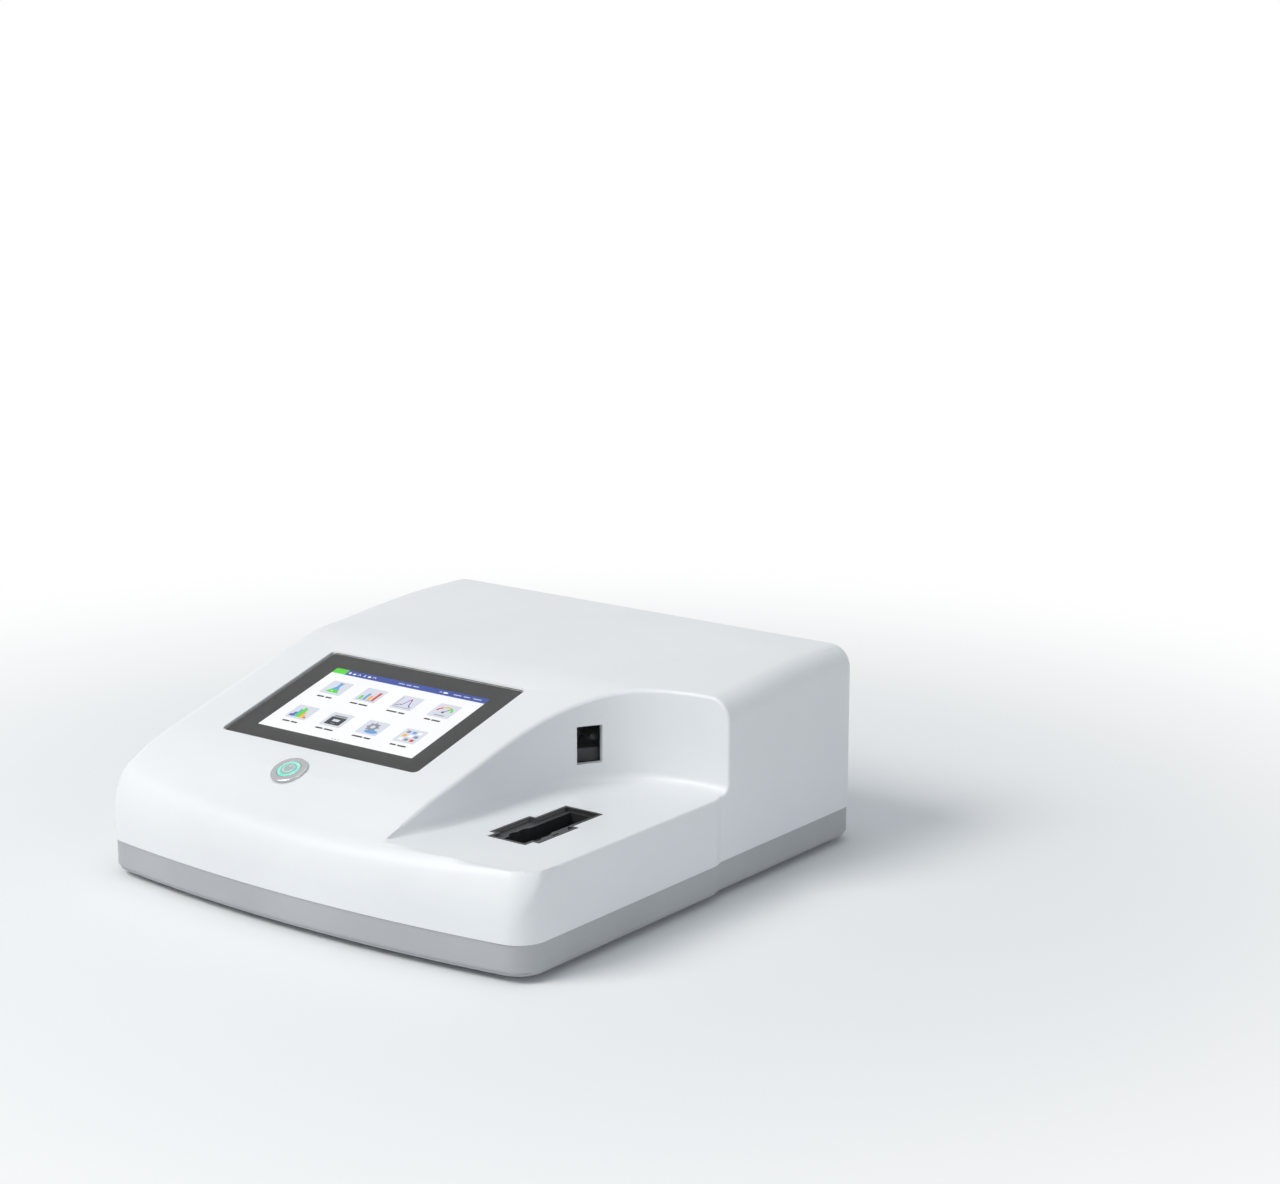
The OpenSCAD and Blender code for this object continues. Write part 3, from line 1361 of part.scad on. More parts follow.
module rear_sockets() color("silver") {
    depth = 15;
    for (i = [0:len(socket_list) - 1]) {
        s = socket_list[i];
        y1 = rear_y - 0.8;
        difference() {
            translate([s[0] - s[1] / 2, y1 - depth, board_top])
                cube([s[1], depth, s[2]]);
            if (i == 0) {
                translate([s[0], y1 + 1, board_top + s[2] / 2])
                    rotate([90, 0, 0])
                        cylinder(r = 3.2, h = 11);
            } else {
                translate([s[0] - s[1] / 2 + 1, y1 - 11, board_top + 1])
                    cube([s[1] - 2, 12, s[2] - 2]);
            }
        }
        // Centre pin of the power inlet
        if (i == 0)
            translate([s[0], y1 - 1.5, board_top + s[2] / 2])
                rotate([90, 0, 0])
                    cylinder(r = 1, h = 10);
        // Tongues of the two flat sockets
        if (i > 1)
            translate([s[0] - s[1] / 2 + 1.5, y1 - 12, board_top + s[2] / 2 - 0.2])
                cube([s[1] - 3, 10.5, 1.6]);
    }
}
module board_screws() color("silver") {
    for (p = board_points)
        mirror([0, 0, 1])
            screw(p, -board_top - 1.8, -board_z + 8, small_screw_r, 2.8, 1.8);
    for (p = mono_points)
        mirror([0, 0, 1])
            screw(p, -mono_z0 - 6, -tray_floor - 1, small_screw_r, 2.8, 1.9);
}

top_shell();
base_tray();
feet();
battery_door();
battery_pack();
case_screws();
display_glass();
display_gasket();
lcd_panel();
display_frame();
display_board();
display_ribbon();
switch_body();
switch_nut();
power_button();
button_ring();
cuvette_insert();
cell_holder();
nose_barrel();
cell_nose();
detector_board();
scanner_window();
scanner_tunnel();
scanner_module();
mono_housing();
mono_cover();
slit_plates();
mirror_mounts();
mirrors();
grating_table();
grating();
grating_gear();
grating_pinion();
grating_motor();
beam_splitter();
filter_wheel();
filters();
wheel_bracket();
wheel_pinion();
wheel_motor();
lamp_bulb();
lamp_socket();
lamp_shield();
condenser_lens();
lens_cell();
lamp_lead();
main_board();
board_parts();
rear_sockets();
board_screws();
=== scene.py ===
import json
import math

import bmesh
import bpy
import numpy as np
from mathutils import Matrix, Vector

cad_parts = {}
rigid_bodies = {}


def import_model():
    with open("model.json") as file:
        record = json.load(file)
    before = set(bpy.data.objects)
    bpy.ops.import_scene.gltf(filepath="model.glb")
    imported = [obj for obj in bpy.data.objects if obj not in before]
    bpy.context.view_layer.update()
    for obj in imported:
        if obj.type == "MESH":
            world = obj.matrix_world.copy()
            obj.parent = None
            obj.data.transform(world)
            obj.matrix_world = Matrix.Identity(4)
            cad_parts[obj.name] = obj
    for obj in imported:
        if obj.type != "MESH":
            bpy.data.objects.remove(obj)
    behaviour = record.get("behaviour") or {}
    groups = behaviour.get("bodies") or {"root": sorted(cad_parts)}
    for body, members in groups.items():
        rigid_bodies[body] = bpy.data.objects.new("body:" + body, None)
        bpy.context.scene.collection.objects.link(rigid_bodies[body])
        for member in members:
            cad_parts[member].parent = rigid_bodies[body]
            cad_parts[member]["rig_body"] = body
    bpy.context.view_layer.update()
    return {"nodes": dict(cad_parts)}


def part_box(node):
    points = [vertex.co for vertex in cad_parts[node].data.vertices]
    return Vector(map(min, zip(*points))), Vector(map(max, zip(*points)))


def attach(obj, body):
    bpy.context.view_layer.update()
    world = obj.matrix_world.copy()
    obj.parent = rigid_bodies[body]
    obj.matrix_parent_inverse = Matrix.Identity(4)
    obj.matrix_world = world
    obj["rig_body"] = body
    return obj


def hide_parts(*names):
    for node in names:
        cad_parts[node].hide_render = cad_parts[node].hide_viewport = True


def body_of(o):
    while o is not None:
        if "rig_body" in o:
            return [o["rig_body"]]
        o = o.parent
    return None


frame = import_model()

# Base tray: the light grey moulding that the whole instrument is built up on.
# Injection moulded with a spark-eroded grain; its lip stands inside the top shell.


def linear(r, g, b):
    """Display values from 0 to 255 turned to linear light: the usual power law with its straight toe."""
    c = np.array([r, g, b]) / 255.0
    c = np.where(c <= 0.04045, c / 12.92, ((c + 0.055) / 1.055) ** 2.4)
    return (float(c[0]), float(c[1]), float(c[2]), 1.0)


def fresh_material(name, colour, roughness, metallic=0.0):
    """A new node material whose constant values sit on the shader's own sockets."""
    made = bpy.data.materials.new(name)
    made.use_nodes = True
    shader = made.node_tree.nodes["Principled BSDF"]
    shader.inputs["Base Color"].default_value = colour
    shader.inputs["Roughness"].default_value = roughness
    shader.inputs["Metallic"].default_value = metallic
    made.diffuse_color = colour
    return made, shader


def cloud(made, size, detail=2.0):
    """Noise over the object's own coordinates with spots of about the given size in metres."""
    nodes, links = made.node_tree.nodes, made.node_tree.links
    place = nodes.new("ShaderNodeTexCoord")
    noise = nodes.new("ShaderNodeTexNoise")
    noise.inputs["Scale"].default_value = 1.0 / size
    noise.inputs["Detail"].default_value = detail
    links.new(place.outputs["Object"], noise.inputs["Vector"])
    return noise


def between(made, factor, low, high, start=0.3, end=0.7):
    """Colour that runs from low to high as the factor runs from start to end."""
    ramp = made.node_tree.nodes.new("ShaderNodeValToRGB")
    ramp.color_ramp.elements[0].position = start
    ramp.color_ramp.elements[1].position = end
    ramp.color_ramp.elements[0].color = low
    ramp.color_ramp.elements[1].color = high
    made.node_tree.links.new(factor, ramp.inputs["Fac"])
    return ramp.outputs["Color"]


def relief(made, shader, height, strength, depth):
    """Fine surface relief of the given depth in metres, through the shader's normal."""
    bump = made.node_tree.nodes.new("ShaderNodeBump")
    bump.inputs["Strength"].default_value = strength
    bump.inputs["Distance"].default_value = depth
    made.node_tree.links.new(height, bump.inputs["Height"])
    made.node_tree.links.new(bump.outputs["Normal"], shader.inputs["Normal"])


def clouded(made, shader, size, detail, low, high):
    """Base colour that drifts between low and high in spots of about the given size; returns its socket."""
    tone = between(made, cloud(made, size, detail).outputs["Fac"], low, high)
    made.node_tree.links.new(tone, shader.inputs["Base Color"])
    return tone


def moulded_plastic(name, low, high, roughness, grain=0.0005, strength=0.25, depth=0.00003):
    """Moulded plastic: a faint cloudy tone from the melt and a fine grain from the mould."""
    made, shader = fresh_material(name, high, roughness)
    clouded(made, shader, 0.09, 3.0, low, high)
    relief(made, shader, cloud(made, grain, 1.0).outputs["Fac"], strength, depth)
    return made


def put_in_place(piece, name):
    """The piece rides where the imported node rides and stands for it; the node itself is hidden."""
    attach(piece, body_of(frame["nodes"][name])[0])
    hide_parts(name)
    return piece


weld = 0.000002


def finished(name, *finishes, crease=35.0, flats=0.2):
    """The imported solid's skin with its loose triangles welded. Those that lie in one plane, to within the
    flats angle in degrees, become one face, unless that angle is 0. Faces that meet below the crease angle
    shade as one surface, the larger ones counting for more; sharper edges stay crisp."""
    work = bmesh.new()
    work.from_mesh(frame["nodes"][name].data)
    bmesh.ops.remove_doubles(work, verts=work.verts, dist=weld)
    if flats:
        bmesh.ops.dissolve_limit(work, angle_limit=math.radians(flats), verts=work.verts, edges=work.edges)
    mesh = bpy.data.meshes.new(name + "_skin")
    work.to_mesh(mesh)
    work.free()
    mesh.polygons.foreach_set("use_smooth", np.ones(len(mesh.polygons), dtype=bool))
    mesh.materials.clear()
    for finish in finishes:
        mesh.materials.append(finish)
    mesh.polygons.foreach_set("material_index", np.zeros(len(mesh.polygons), dtype=np.int32))
    piece = bpy.data.objects.new(name + "_finished", mesh)
    bpy.context.scene.collection.objects.link(piece)
    mesh.set_sharp_from_angle(angle=math.radians(crease))
    even = piece.modifiers.new("even_shading", "WEIGHTED_NORMAL")
    even.keep_sharp = True
    return put_in_place(piece, name)


def centres_of(piece):
    """Middle of every face of the piece, in millimetres, one row each."""
    middles = np.empty(3 * len(piece.data.polygons))
    piece.data.polygons.foreach_get("center", middles)
    return middles.reshape(-1, 3) * 1000


def paint_faces(piece, chosen):
    """Faces take the finish whose number stands beside them."""
    piece.data.polygons.foreach_set("material_index", np.asarray(chosen, dtype=np.int32))


tray_grey = moulded_plastic("tray_grey_plastic", linear(172, 174, 177), linear(182, 184, 187), 0.5,
                            strength=0.4)
finished("base_tray", tray_grey, flats=0.3)

# Feet: four soft rubber discs with stems that press into the tray.
# Matt black, with the slightly chalky skin of moulded rubber.


def moulded_rubber(name, colour, dusty):
    """Rubber: a dull skin with a chalky bloom in patches and a soft uneven surface."""
    made, shader = fresh_material(name, colour, 0.85)
    clouded(made, shader, 0.006, 4.0, colour, dusty)
    relief(made, shader, cloud(made, 0.0009, 2.0).outputs["Fac"], 0.5, 0.00006)
    return made


foot_rubber = moulded_rubber("foot_rubber", linear(30, 30, 32), linear(52, 52, 54))
finished("feet", foot_rubber)

# Battery door: a flat lid of the tray's plastic, let into the floor from below.
# It has a row of grip grooves and is held by two small screws.
door_grey = moulded_plastic("door_grey_plastic", linear(168, 170, 173), linear(178, 180, 183), 0.5,
                            strength=0.4)
finished("battery_door", door_grey)

# Battery pack: two rows of round cells in one blue shrink sleeve.
# The sleeve is thin glossy film, pulled tight, with small wrinkles along the cells.
sleeve_film, sleeve_shader = fresh_material("battery_sleeve_film", linear(38, 78, 150), 0.28)
clouded(sleeve_film, sleeve_shader, 0.03, 2.0, linear(32, 68, 138), linear(46, 90, 166))
relief(sleeve_film, sleeve_shader, cloud(sleeve_film, 0.004, 3.0).outputs["Fac"], 0.35, 0.0002)
finished("battery_pack", sleeve_film)

# Case screws: six steel screws that pull tray and shell together from below, and two at the battery door.
# Zinc plated, with fine turning marks on heads and shanks.


def worked_metal(name, low, high, roughness, streak, strength=0.2, along=(1.0, 1.0, 1.0)):
    """Metal with streaks left by turning or brushing: noise stretched along one direction changes tone and
    relief."""
    made, shader = fresh_material(name, high, roughness, 1.0)
    nodes, links = made.node_tree.nodes, made.node_tree.links
    place = nodes.new("ShaderNodeTexCoord")
    stretch = nodes.new("ShaderNodeMapping")
    stretch.inputs["Scale"].default_value = along
    noise = nodes.new("ShaderNodeTexNoise")
    noise.inputs["Scale"].default_value = 1.0 / streak
    noise.inputs["Detail"].default_value = 4.0
    links.new(place.outputs["Object"], stretch.inputs["Vector"])
    links.new(stretch.outputs["Vector"], noise.inputs["Vector"])
    links.new(between(made, noise.outputs["Fac"], low, high), shader.inputs["Base Color"])
    relief(made, shader, noise.outputs["Fac"], strength, 0.00001)
    return made


zinc_steel = worked_metal("zinc_plated_steel", linear(168, 170, 170), linear(202, 204, 202), 0.34, 0.0008,
                          along=(1, 1, 6))
finished("case_screws", zinc_steel)

# Main board: glass-fibre circuit board with green solder mask.
# It lies on four posts of the tray; copper tracks show through the mask.


def circuit_board(name):
    """Solder mask over copper: thin lighter tracks along a grid of blocks, under a glossy green coat."""
    made, shader = fresh_material(name, linear(20, 78, 46), 0.3)
    nodes, links = made.node_tree.nodes, made.node_tree.links
    place = nodes.new("ShaderNodeTexCoord")
    tracks = nodes.new("ShaderNodeTexBrick")
    tracks.inputs["Scale"].default_value = 160.0
    tracks.inputs["Mortar Size"].default_value = 0.06
    tracks.inputs["Color1"].default_value = linear(18, 72, 42)
    tracks.inputs["Color2"].default_value = linear(22, 84, 50)
    tracks.inputs["Mortar"].default_value = linear(44, 122, 74)
    links.new(place.outputs["Object"], tracks.inputs["Vector"])
    links.new(tracks.outputs["Color"], shader.inputs["Base Color"])
    relief(made, shader, tracks.outputs["Fac"], 0.3, 0.00003)
    return made


board_green = circuit_board("solder_mask_green")
finished("main_board", board_green)

# Board parts: processor, memory, regulators, capacitors and the ribbon and lead connectors.
# Black epoxy, aluminium cans on the tall regulators and white connector bodies.
epoxy_black = moulded_plastic("epoxy_black", linear(26, 26, 28), linear(36, 36, 38), 0.55, grain=0.0003,
                              strength=0.4)
can_silver = worked_metal("capacitor_can", linear(176, 178, 180), linear(206, 208, 210), 0.3, 0.001)
connector_white = moulded_plastic("connector_nylon", linear(214, 210, 198), linear(226, 222, 210), 0.45,
                                  grain=0.0008)
parts = finished("board_parts", epoxy_black, can_silver, connector_white, flats=0)
part_x, part_y = centres_of(parts).T[:2]
big_can_x, small_can_x, small_can_y, plug_x, plug_y = -95, -75, 31, -56, 49
tall_cans = (part_x < big_can_x) | ((part_x < small_can_x) & (part_y < small_can_y))
white_plugs = (part_y < plug_y) & (part_x > plug_x)
paint_faces(parts, np.where(tall_cans, 1, np.where(white_plugs, 2, 0)))

# Rear sockets: power inlet, network socket and two flat sockets at the board's rear edge.
# The inlet is moulded plastic, the others folded plated sheet.
socket_plate = worked_metal("socket_plated_steel", linear(160, 161, 160), linear(190, 191, 188), 0.3, 0.002)
socket_plastic = moulded_plastic("socket_black_plastic", linear(20, 20, 22), linear(32, 32, 34), 0.45)
sockets = finished("rear_sockets", socket_plate, socket_plastic, flats=0)
socket_x, socket_y, socket_z = centres_of(sockets).T
inlet_x, inlet_z, inlet_half, inlet_pin_r = -110, 32.1, 6, 1.5
off_inlet_pin = np.hypot(socket_x - inlet_x, socket_z - inlet_z) > inlet_pin_r
inlet_body = (socket_x < inlet_x + inlet_half) & off_inlet_pin
flat_sockets_x, tongue_z, tongue_half, tongue_y = -72, 30.7, 1.2, 136
tongues = (socket_x > flat_sockets_x) & (np.abs(socket_z - tongue_z) < tongue_half) & (socket_y > tongue_y)
paint_faces(sockets, (inlet_body | tongues).astype(int))

# Contacts in the rear sockets: eight spring wires in the network socket, four pads on each flat tongue.
# Gold plated bronze; the wires slope up from the socket's floor, and black plastic lines the socket.


def new_piece(name, grids, place, finish, crease=35.0, joined=False, capped=True):
    """Grids of points, each row a closed ring, joined ring to ring by quads. Capped grids close flat at both
    ends and joined ones run back into themselves. The place, a 4 by 4 array, sets them on the object in
    millimetres."""
    points, faces, start = [], [], 0
    for grid in grids:
        rows, cols = grid.shape[:2]
        index = start + np.arange(rows * cols).reshape(rows, cols)
        lower = index if joined else index[:-1]
        upper = np.roll(index, -1, axis=0) if joined else index[1:]
        quads = np.stack([lower, np.roll(lower, -1, 1), np.roll(upper, -1, 1), upper], axis=2).reshape(-1, 4)
        faces += quads.tolist()
        if capped and not joined:
            faces += [index[0][::-1].tolist(), index[-1].tolist()]
        flat = grid.reshape(-1, 3)
        points.append((flat @ place[:3, :3].T + place[:3, 3]) / 1000)
        start += rows * cols
    mesh = bpy.data.meshes.new(name)
    mesh.from_pydata(np.concatenate(points).tolist(), [], faces)
    work = bmesh.new()
    work.from_mesh(mesh)
    bmesh.ops.remove_doubles(work, verts=work.verts, dist=0.0000001)
    bmesh.ops.recalc_face_normals(work, faces=work.faces)
    work.to_mesh(mesh)
    work.free()
    mesh.polygons.foreach_set("use_smooth", np.ones(len(mesh.polygons), dtype=bool))
    mesh.set_sharp_from_angle(angle=math.radians(crease))
    mesh.materials.append(finish)
    piece = bpy.data.objects.new(name, mesh)
    bpy.context.scene.collection.objects.link(piece)
    return piece


def strip(path, width, thickness):
    """A flat strip: a rectangle of the given width along X and thickness along Z, carried along the path."""
    path = np.asarray(path, dtype=float)
    corners = np.array([[-1, 0, -1], [1, 0, -1], [1, 0, 1], [-1, 0, 1]]) * [width / 2, 0, thickness / 2]
    return path[:, None, :] + corners[None, :, :]


upright = np.eye(4)
contact_gold = worked_metal("contact_gold", linear(206, 164, 84), linear(236, 200, 124), 0.22, 0.0006)
network_x, wire_pitch, pad_pitch = -86, 1.27, 2.5
wires = [strip([[x, 140.2, 28.2], [x, 142.6, 29.1], [x, 145.6, 31.3], [x, 147.6, 31.9]], 0.45, 0.28)
         for x in network_x + wire_pitch * (np.arange(8) - 3.5)]
pads = [strip([[x, 141.0, 31.93], [x, 146.6, 31.93]], 1.1, 0.12)
        for middle in (-62, -42) for x in middle + pad_pitch * (np.arange(4) - 1.5)]
contacts = new_piece("socket_contacts", wires + pads, upright, contact_gold)
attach(contacts, "housing")
lining = [strip([[network_x, 138.3, 33.35], [network_x, 139.4, 33.35]], 13.9, 11.4),
          strip([[network_x, 138.3, 28.1], [network_x, 148.6, 28.1]], 13.9, 0.7)]
socket_lining = new_piece("socket_lining", lining, upright, socket_plastic)
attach(socket_lining, "housing")

# Board screws: hold the main board and the optics box to their posts.
# The same zinc plated steel as the case screws, with finer marks.
board_screw_steel = worked_metal("board_screw_steel", linear(172, 172, 168), linear(206, 206, 200), 0.32,
                                 0.0006)
finished("board_screws", board_screw_steel)

# Optics box: die-cast housing of the monochromator, machined and black anodised.
# It stands on four posts of the tray, held by its ears.


def black_anodised(name):
    """Black anodised aluminium: deep grey metal with fine blasted grain and a faint sheen."""
    made, shader = fresh_material(name, linear(34, 34, 37), 0.46, 0.6)
    clouded(made, shader, 0.012, 3.0, linear(28, 28, 31), linear(42, 42, 45))
    relief(made, shader, cloud(made, 0.0004, 2.0).outputs["Fac"], 0.4, 0.00003)
    return made


optics_black = black_anodised("optics_black_anodised")
finished("mono_housing", optics_black)

# Optics cover: sheet lid over the monochromator, with the way in for the motor's shaft.
# Black anodised sheet, a little smoother than the casting.
cover_black = black_anodised("cover_black_anodised")
finished("mono_cover", cover_black)

# Slit plates: thin blackened foils with a narrow slit, in front of the entrance and the exit.
# Etched steel foil, dead matt so that it throws no light back.
slit_black = worked_metal("slit_blackened_steel", linear(18, 18, 20), linear(30, 30, 32), 0.7, 0.001)
finished("slit_plates", slit_black)

# Mirror mounts: angle brackets on the optics floor that carry the two mirrors.
# Milled and black anodised.
mount_black = black_anodised("mount_black_anodised")
finished("mirror_mounts", mount_black)

# Mirrors: two concave mirrors that make the light parallel and gather it again.
# Polished glass with an aluminium coat on the front.
mirror_coat = worked_metal("mirror_coat", linear(228, 229, 230), linear(236, 237, 238), 0.03, 0.01,
                           strength=0.02)
finished("mirrors", mirror_coat)

# Grating table: shaft, disc and back plate that turn the grating.
# One turned and milled piece, black anodised.
table_black = black_anodised("table_black_anodised")
finished("grating_table", table_black)

# Grating: ruled reflecting block cemented to the table's back plate.
# Its fine lines split white light, so the coat looks tinted along the rulings.
ruled_coat, ruled_shader = fresh_material("ruled_coat", linear(190, 186, 205), 0.12, 1.0)
ruled_place = ruled_coat.node_tree.nodes.new("ShaderNodeTexCoord")
ruled_wave = ruled_coat.node_tree.nodes.new("ShaderNodeTexWave")
ruled_wave.inputs["Scale"].default_value = 260.0
ruled_coat.node_tree.links.new(ruled_place.outputs["Object"], ruled_wave.inputs["Vector"])
ruled_tone = between(ruled_coat, ruled_wave.outputs["Fac"], linear(172, 160, 206), linear(196, 208, 214),
                     0.1, 0.9)
ruled_coat.node_tree.links.new(ruled_tone, ruled_shader.inputs["Base Color"])
relief(ruled_coat, ruled_shader, ruled_wave.outputs["Fac"], 0.1, 0.00001)
finished("grating", ruled_coat)

# Grating gear and pinion: fine-pitch brass gears that turn the grating in small steps.
# Cut brass with the hobbing marks left in.
gear_brass = worked_metal("gear_brass", linear(176, 138, 72), linear(212, 176, 106), 0.28, 0.0007,
                          along=(1, 1, 5))
finished("grating_gear", gear_brass)
pinion_brass = worked_metal("pinion_brass", linear(170, 132, 66), linear(208, 172, 100), 0.3, 0.0005,
                            along=(1, 1, 5))
finished("grating_pinion", pinion_brass)

# Grating motor: small can-type stepping motor on the optics cover.
# Drawn steel can with a satin zinc finish.
can_steel = worked_metal("motor_can_steel", linear(150, 152, 154), linear(182, 184, 185), 0.36, 0.0015,
                         along=(1, 1, 8))
finished("grating_motor", can_steel)

# Beam splitter: thin coated glass plate across the beam on its black foot.
# The reference detector stands beside it on its own small board.


def polished_glass(name, tint, roughness=0.02, waves=0.01, bending=1.5):
    """Clear glass: light passes through, with a very faint unevenness in the polish. A coat against
    reflections makes it bend and mirror less."""
    made, shader = fresh_material(name, tint, roughness)
    shader.inputs["Transmission Weight"].default_value = 1.0
    shader.inputs["IOR"].default_value = bending
    relief(made, shader, cloud(made, 0.03, 1.0).outputs["Fac"], waves, 0.0001)
    return made


splitter_glass = polished_glass("splitter_glass", linear(214, 226, 236), 0.05)
splitter = finished("beam_splitter", splitter_glass, mount_black, board_green, can_silver, flats=0)
splitter_x, splitter_z = centres_of(splitter).T[::2]
small_board_x, detector_can_x, foot_top = 111, 107, 25.1
on_board = splitter_x > small_board_x
in_can = (splitter_x > detector_can_x) & ~on_board
in_foot = (splitter_z < foot_top) & ~on_board
paint_faces(splitter, np.select([on_board, in_can, in_foot], [2, 3, 1], 0))

# Filter wheel and its filters: a toothed wheel that brings one glass filter before the exit slit.
# The wheel is black anodised; the cemented glasses pass different parts of the spectrum.
wheel_black = black_anodised("wheel_black_anodised")
finished("filter_wheel", wheel_black)
filter_tints = ((206, 222, 236), (96, 138, 206), (112, 178, 120),
                (226, 196, 84), (226, 132, 62), (188, 52, 46))
filter_glasses = [polished_glass(f"filter_glass_{n}", linear(*tint), 0.04)
                  for n, tint in enumerate(filter_tints)]
filters = finished("filters", *filter_glasses, flats=0)
filter_x, filter_z = centres_of(filters).T[::2]
wheel_x, beam_z, places = 85, 31, len(filter_tints)
filter_turn = np.degrees(np.arctan2(filter_z - beam_z, filter_x - wheel_x))
paint_faces(filters, np.round(filter_turn / (360 / places)).astype(int) % places)

# Wheel bracket, pinion and motor: carry and turn the filter wheel.
# Bent plated sheet with a turned pin, a cut brass pinion and a small steel motor can on its own foot.
bracket_steel = worked_metal("bracket_plated_steel", linear(158, 160, 160), linear(190, 192, 190), 0.32,
                             0.0015)
finished("wheel_bracket", bracket_steel)
finished("wheel_pinion", pinion_brass)
finished("wheel_motor", can_steel)

# Lamp: halogen capsule of clear quartz in a ceramic socket.
# The quartz is slightly smoky at the pinch.
quartz = polished_glass("lamp_quartz", linear(238, 240, 240), 0.03, 0.03)
finished("lamp_bulb", quartz)

# Lamp socket: fired ceramic block with two fixing holes.
# Cream, with a thin glaze that pools unevenly.
ceramic = moulded_plastic("socket_ceramic", linear(222, 216, 200), linear(236, 231, 218), 0.3, grain=0.002,
                          strength=0.2)
finished("lamp_socket", ceramic)

# Lamp shield: folded bright sheet round the lamp, with air slots at the front.
# Brushed steel that keeps the heat off the plastic.
shield_steel = worked_metal("shield_bright_steel", linear(180, 180, 178), linear(214, 214, 210), 0.26, 0.0012,
                            along=(8, 8, 1))
finished("lamp_shield", shield_steel)

# Condenser lens and cell: gathers the lamp's light on the entrance slit.
# Polished glass in a black turned ring on a foot.
lens_glass = polished_glass("condenser_glass", linear(240, 244, 248))
finished("condenser_lens", lens_glass)
cell_black = black_anodised("cell_black_anodised")
finished("lens_cell", cell_black)

# Lamp lead: two cores in one heat-proof sleeve from the socket to the main board.
# Red silicone, soft and dull.
lead_red = moulded_rubber("lead_red_silicone", linear(138, 34, 28), linear(158, 48, 40))
finished("lamp_lead", lead_red)

# Cell holder: black anodised block under the deck that seats the cells in the light beam.
# The well for round and rectangular cells is milled from the top.
holder_black = black_anodised("holder_black_anodised")
finished("cell_holder", holder_black)

# Sprung nose: a small brass pin in a steel barrel that presses a cell to its seat.
# The barrel is pressed into the holder block.
barrel_steel = worked_metal("barrel_steel", linear(176, 177, 177), linear(206, 207, 205), 0.3, 0.0006)
finished("nose_barrel", barrel_steel)
nose_brass = worked_metal("nose_brass", linear(186, 150, 84), linear(216, 182, 112), 0.24, 0.0005)
finished("cell_nose", nose_brass)

# Detector board: small circuit board with the photodiode can, in front of the holder.
# Green solder mask, a steel can over the diode and two black amplifiers on the front.
detector = finished("detector_board", board_green, can_silver, epoxy_black, flats=0)
detector_y = centres_of(detector)[:, 1]
can_depth, board_depth = 3.6, 1.7
holder_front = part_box("detector_board")[1][1] * 1000 - can_depth
in_can, in_amplifiers = detector_y > holder_front + 0.1, detector_y < holder_front - board_depth
paint_faces(detector, np.select([in_can, in_amplifiers], [1, 2], 0))

# Display stack under the glass: foam gasket, panel, steel frame, driver board and flat ribbon.
# The frame is stamped plated sheet; the chips on the driver board are black epoxy.


def standing(x, y, z, tilt=0.0, turn=0.0):
    """Place of a piece: tilted about X and turned about Z, in degrees, then moved to x, y, z in
    millimetres."""
    t, s = math.radians(tilt), math.radians(turn)
    about_x = np.array([[1, 0, 0], [0, math.cos(t), -math.sin(t)], [0, math.sin(t), math.cos(t)]])
    about_z = np.array([[math.cos(s), -math.sin(s), 0], [math.sin(s), math.cos(s), 0], [0, 0, 1]])
    place = np.eye(4)
    place[:3, :3] = about_z @ about_x
    place[:3, 3] = (x, y, z)
    return place


display_place = standing(-36, -46, 86.0315, tilt=15.4898)
gasket_foam = moulded_rubber("gasket_foam", linear(24, 24, 25), linear(40, 40, 41))
finished("display_gasket", gasket_foam)
panel_edge = moulded_plastic("panel_edge", linear(206, 214, 222), linear(216, 223, 230), 0.4)
finished("lcd_panel", panel_edge)
stamped_steel = worked_metal("frame_stamped_steel", linear(164, 165, 164), linear(194, 195, 192), 0.33, 0.002)
finished("display_frame", stamped_steel)
driver_board = finished("display_board", board_green, epoxy_black, flats=0)
board_height = (centres_of(driver_board) - display_place[:3, 3]) @ display_place[:3, 2]
board_back = -13.3
paint_faces(driver_board, (board_height < board_back).astype(int))
ribbon_film = moulded_plastic("ribbon_film", linear(196, 196, 190), linear(214, 214, 208), 0.36, grain=0.001)
finished("display_ribbon", ribbon_film)

# Lit picture: what the liquid crystal panel shows while the instrument is switched on.
# A white ground with a blue top bar and eight tiles, each with a plain drawing over bare strokes;
# the layers are bonded to the glass, so they lie just inside it.


def rounded_ring(w, l, r, z=0.0, steps=7):
    """A w by l rectangle at height z whose four corners are arcs of radius r: steps points on each,
    anticlockwise."""
    a = np.arange(4)[:, None] * np.pi / 2 + np.radians(np.linspace(0, 90, steps))
    x = np.array([1, -1, -1, 1])[:, None] * (w / 2 - r) + r * np.cos(a)
    y = np.array([1, 1, -1, -1])[:, None] * (l / 2 - r) + r * np.sin(a)
    return np.stack([x, y, np.full_like(x, z)], axis=2).reshape(-1, 3)


def lit_ink(name, r, g, b, power=1.0):
    """One colour of the panel's light, a few hundredths uneven over the panel as its lamps leave it."""
    made, shader = fresh_material(name, linear(6, 6, 7), 0.4)
    full = linear(r, g, b)
    dim = tuple(0.95 * c for c in full[:3]) + (1.0,)
    glow = between(made, cloud(made, 0.05, 1.0).outputs["Fac"], dim, full)
    made.node_tree.links.new(glow, shader.inputs["Emission Color"])
    shader.inputs["Emission Strength"].default_value = power
    return made


def card(x, y, w, l, r=0.3):
    """Outline of a small rectangle with rounded corners about x, y."""
    return rounded_ring(w, l, r, steps=4)[:, :2] + [x, y]


def disc(x, y, rx, ry=None):
    """Outline of a round or oval spot: (rx cos a, ry sin a) about x, y."""
    a = np.linspace(0, 2 * np.pi, 32, endpoint=False)
    return np.stack([x + rx * np.cos(a), y + (ry or rx) * np.sin(a)], axis=1)


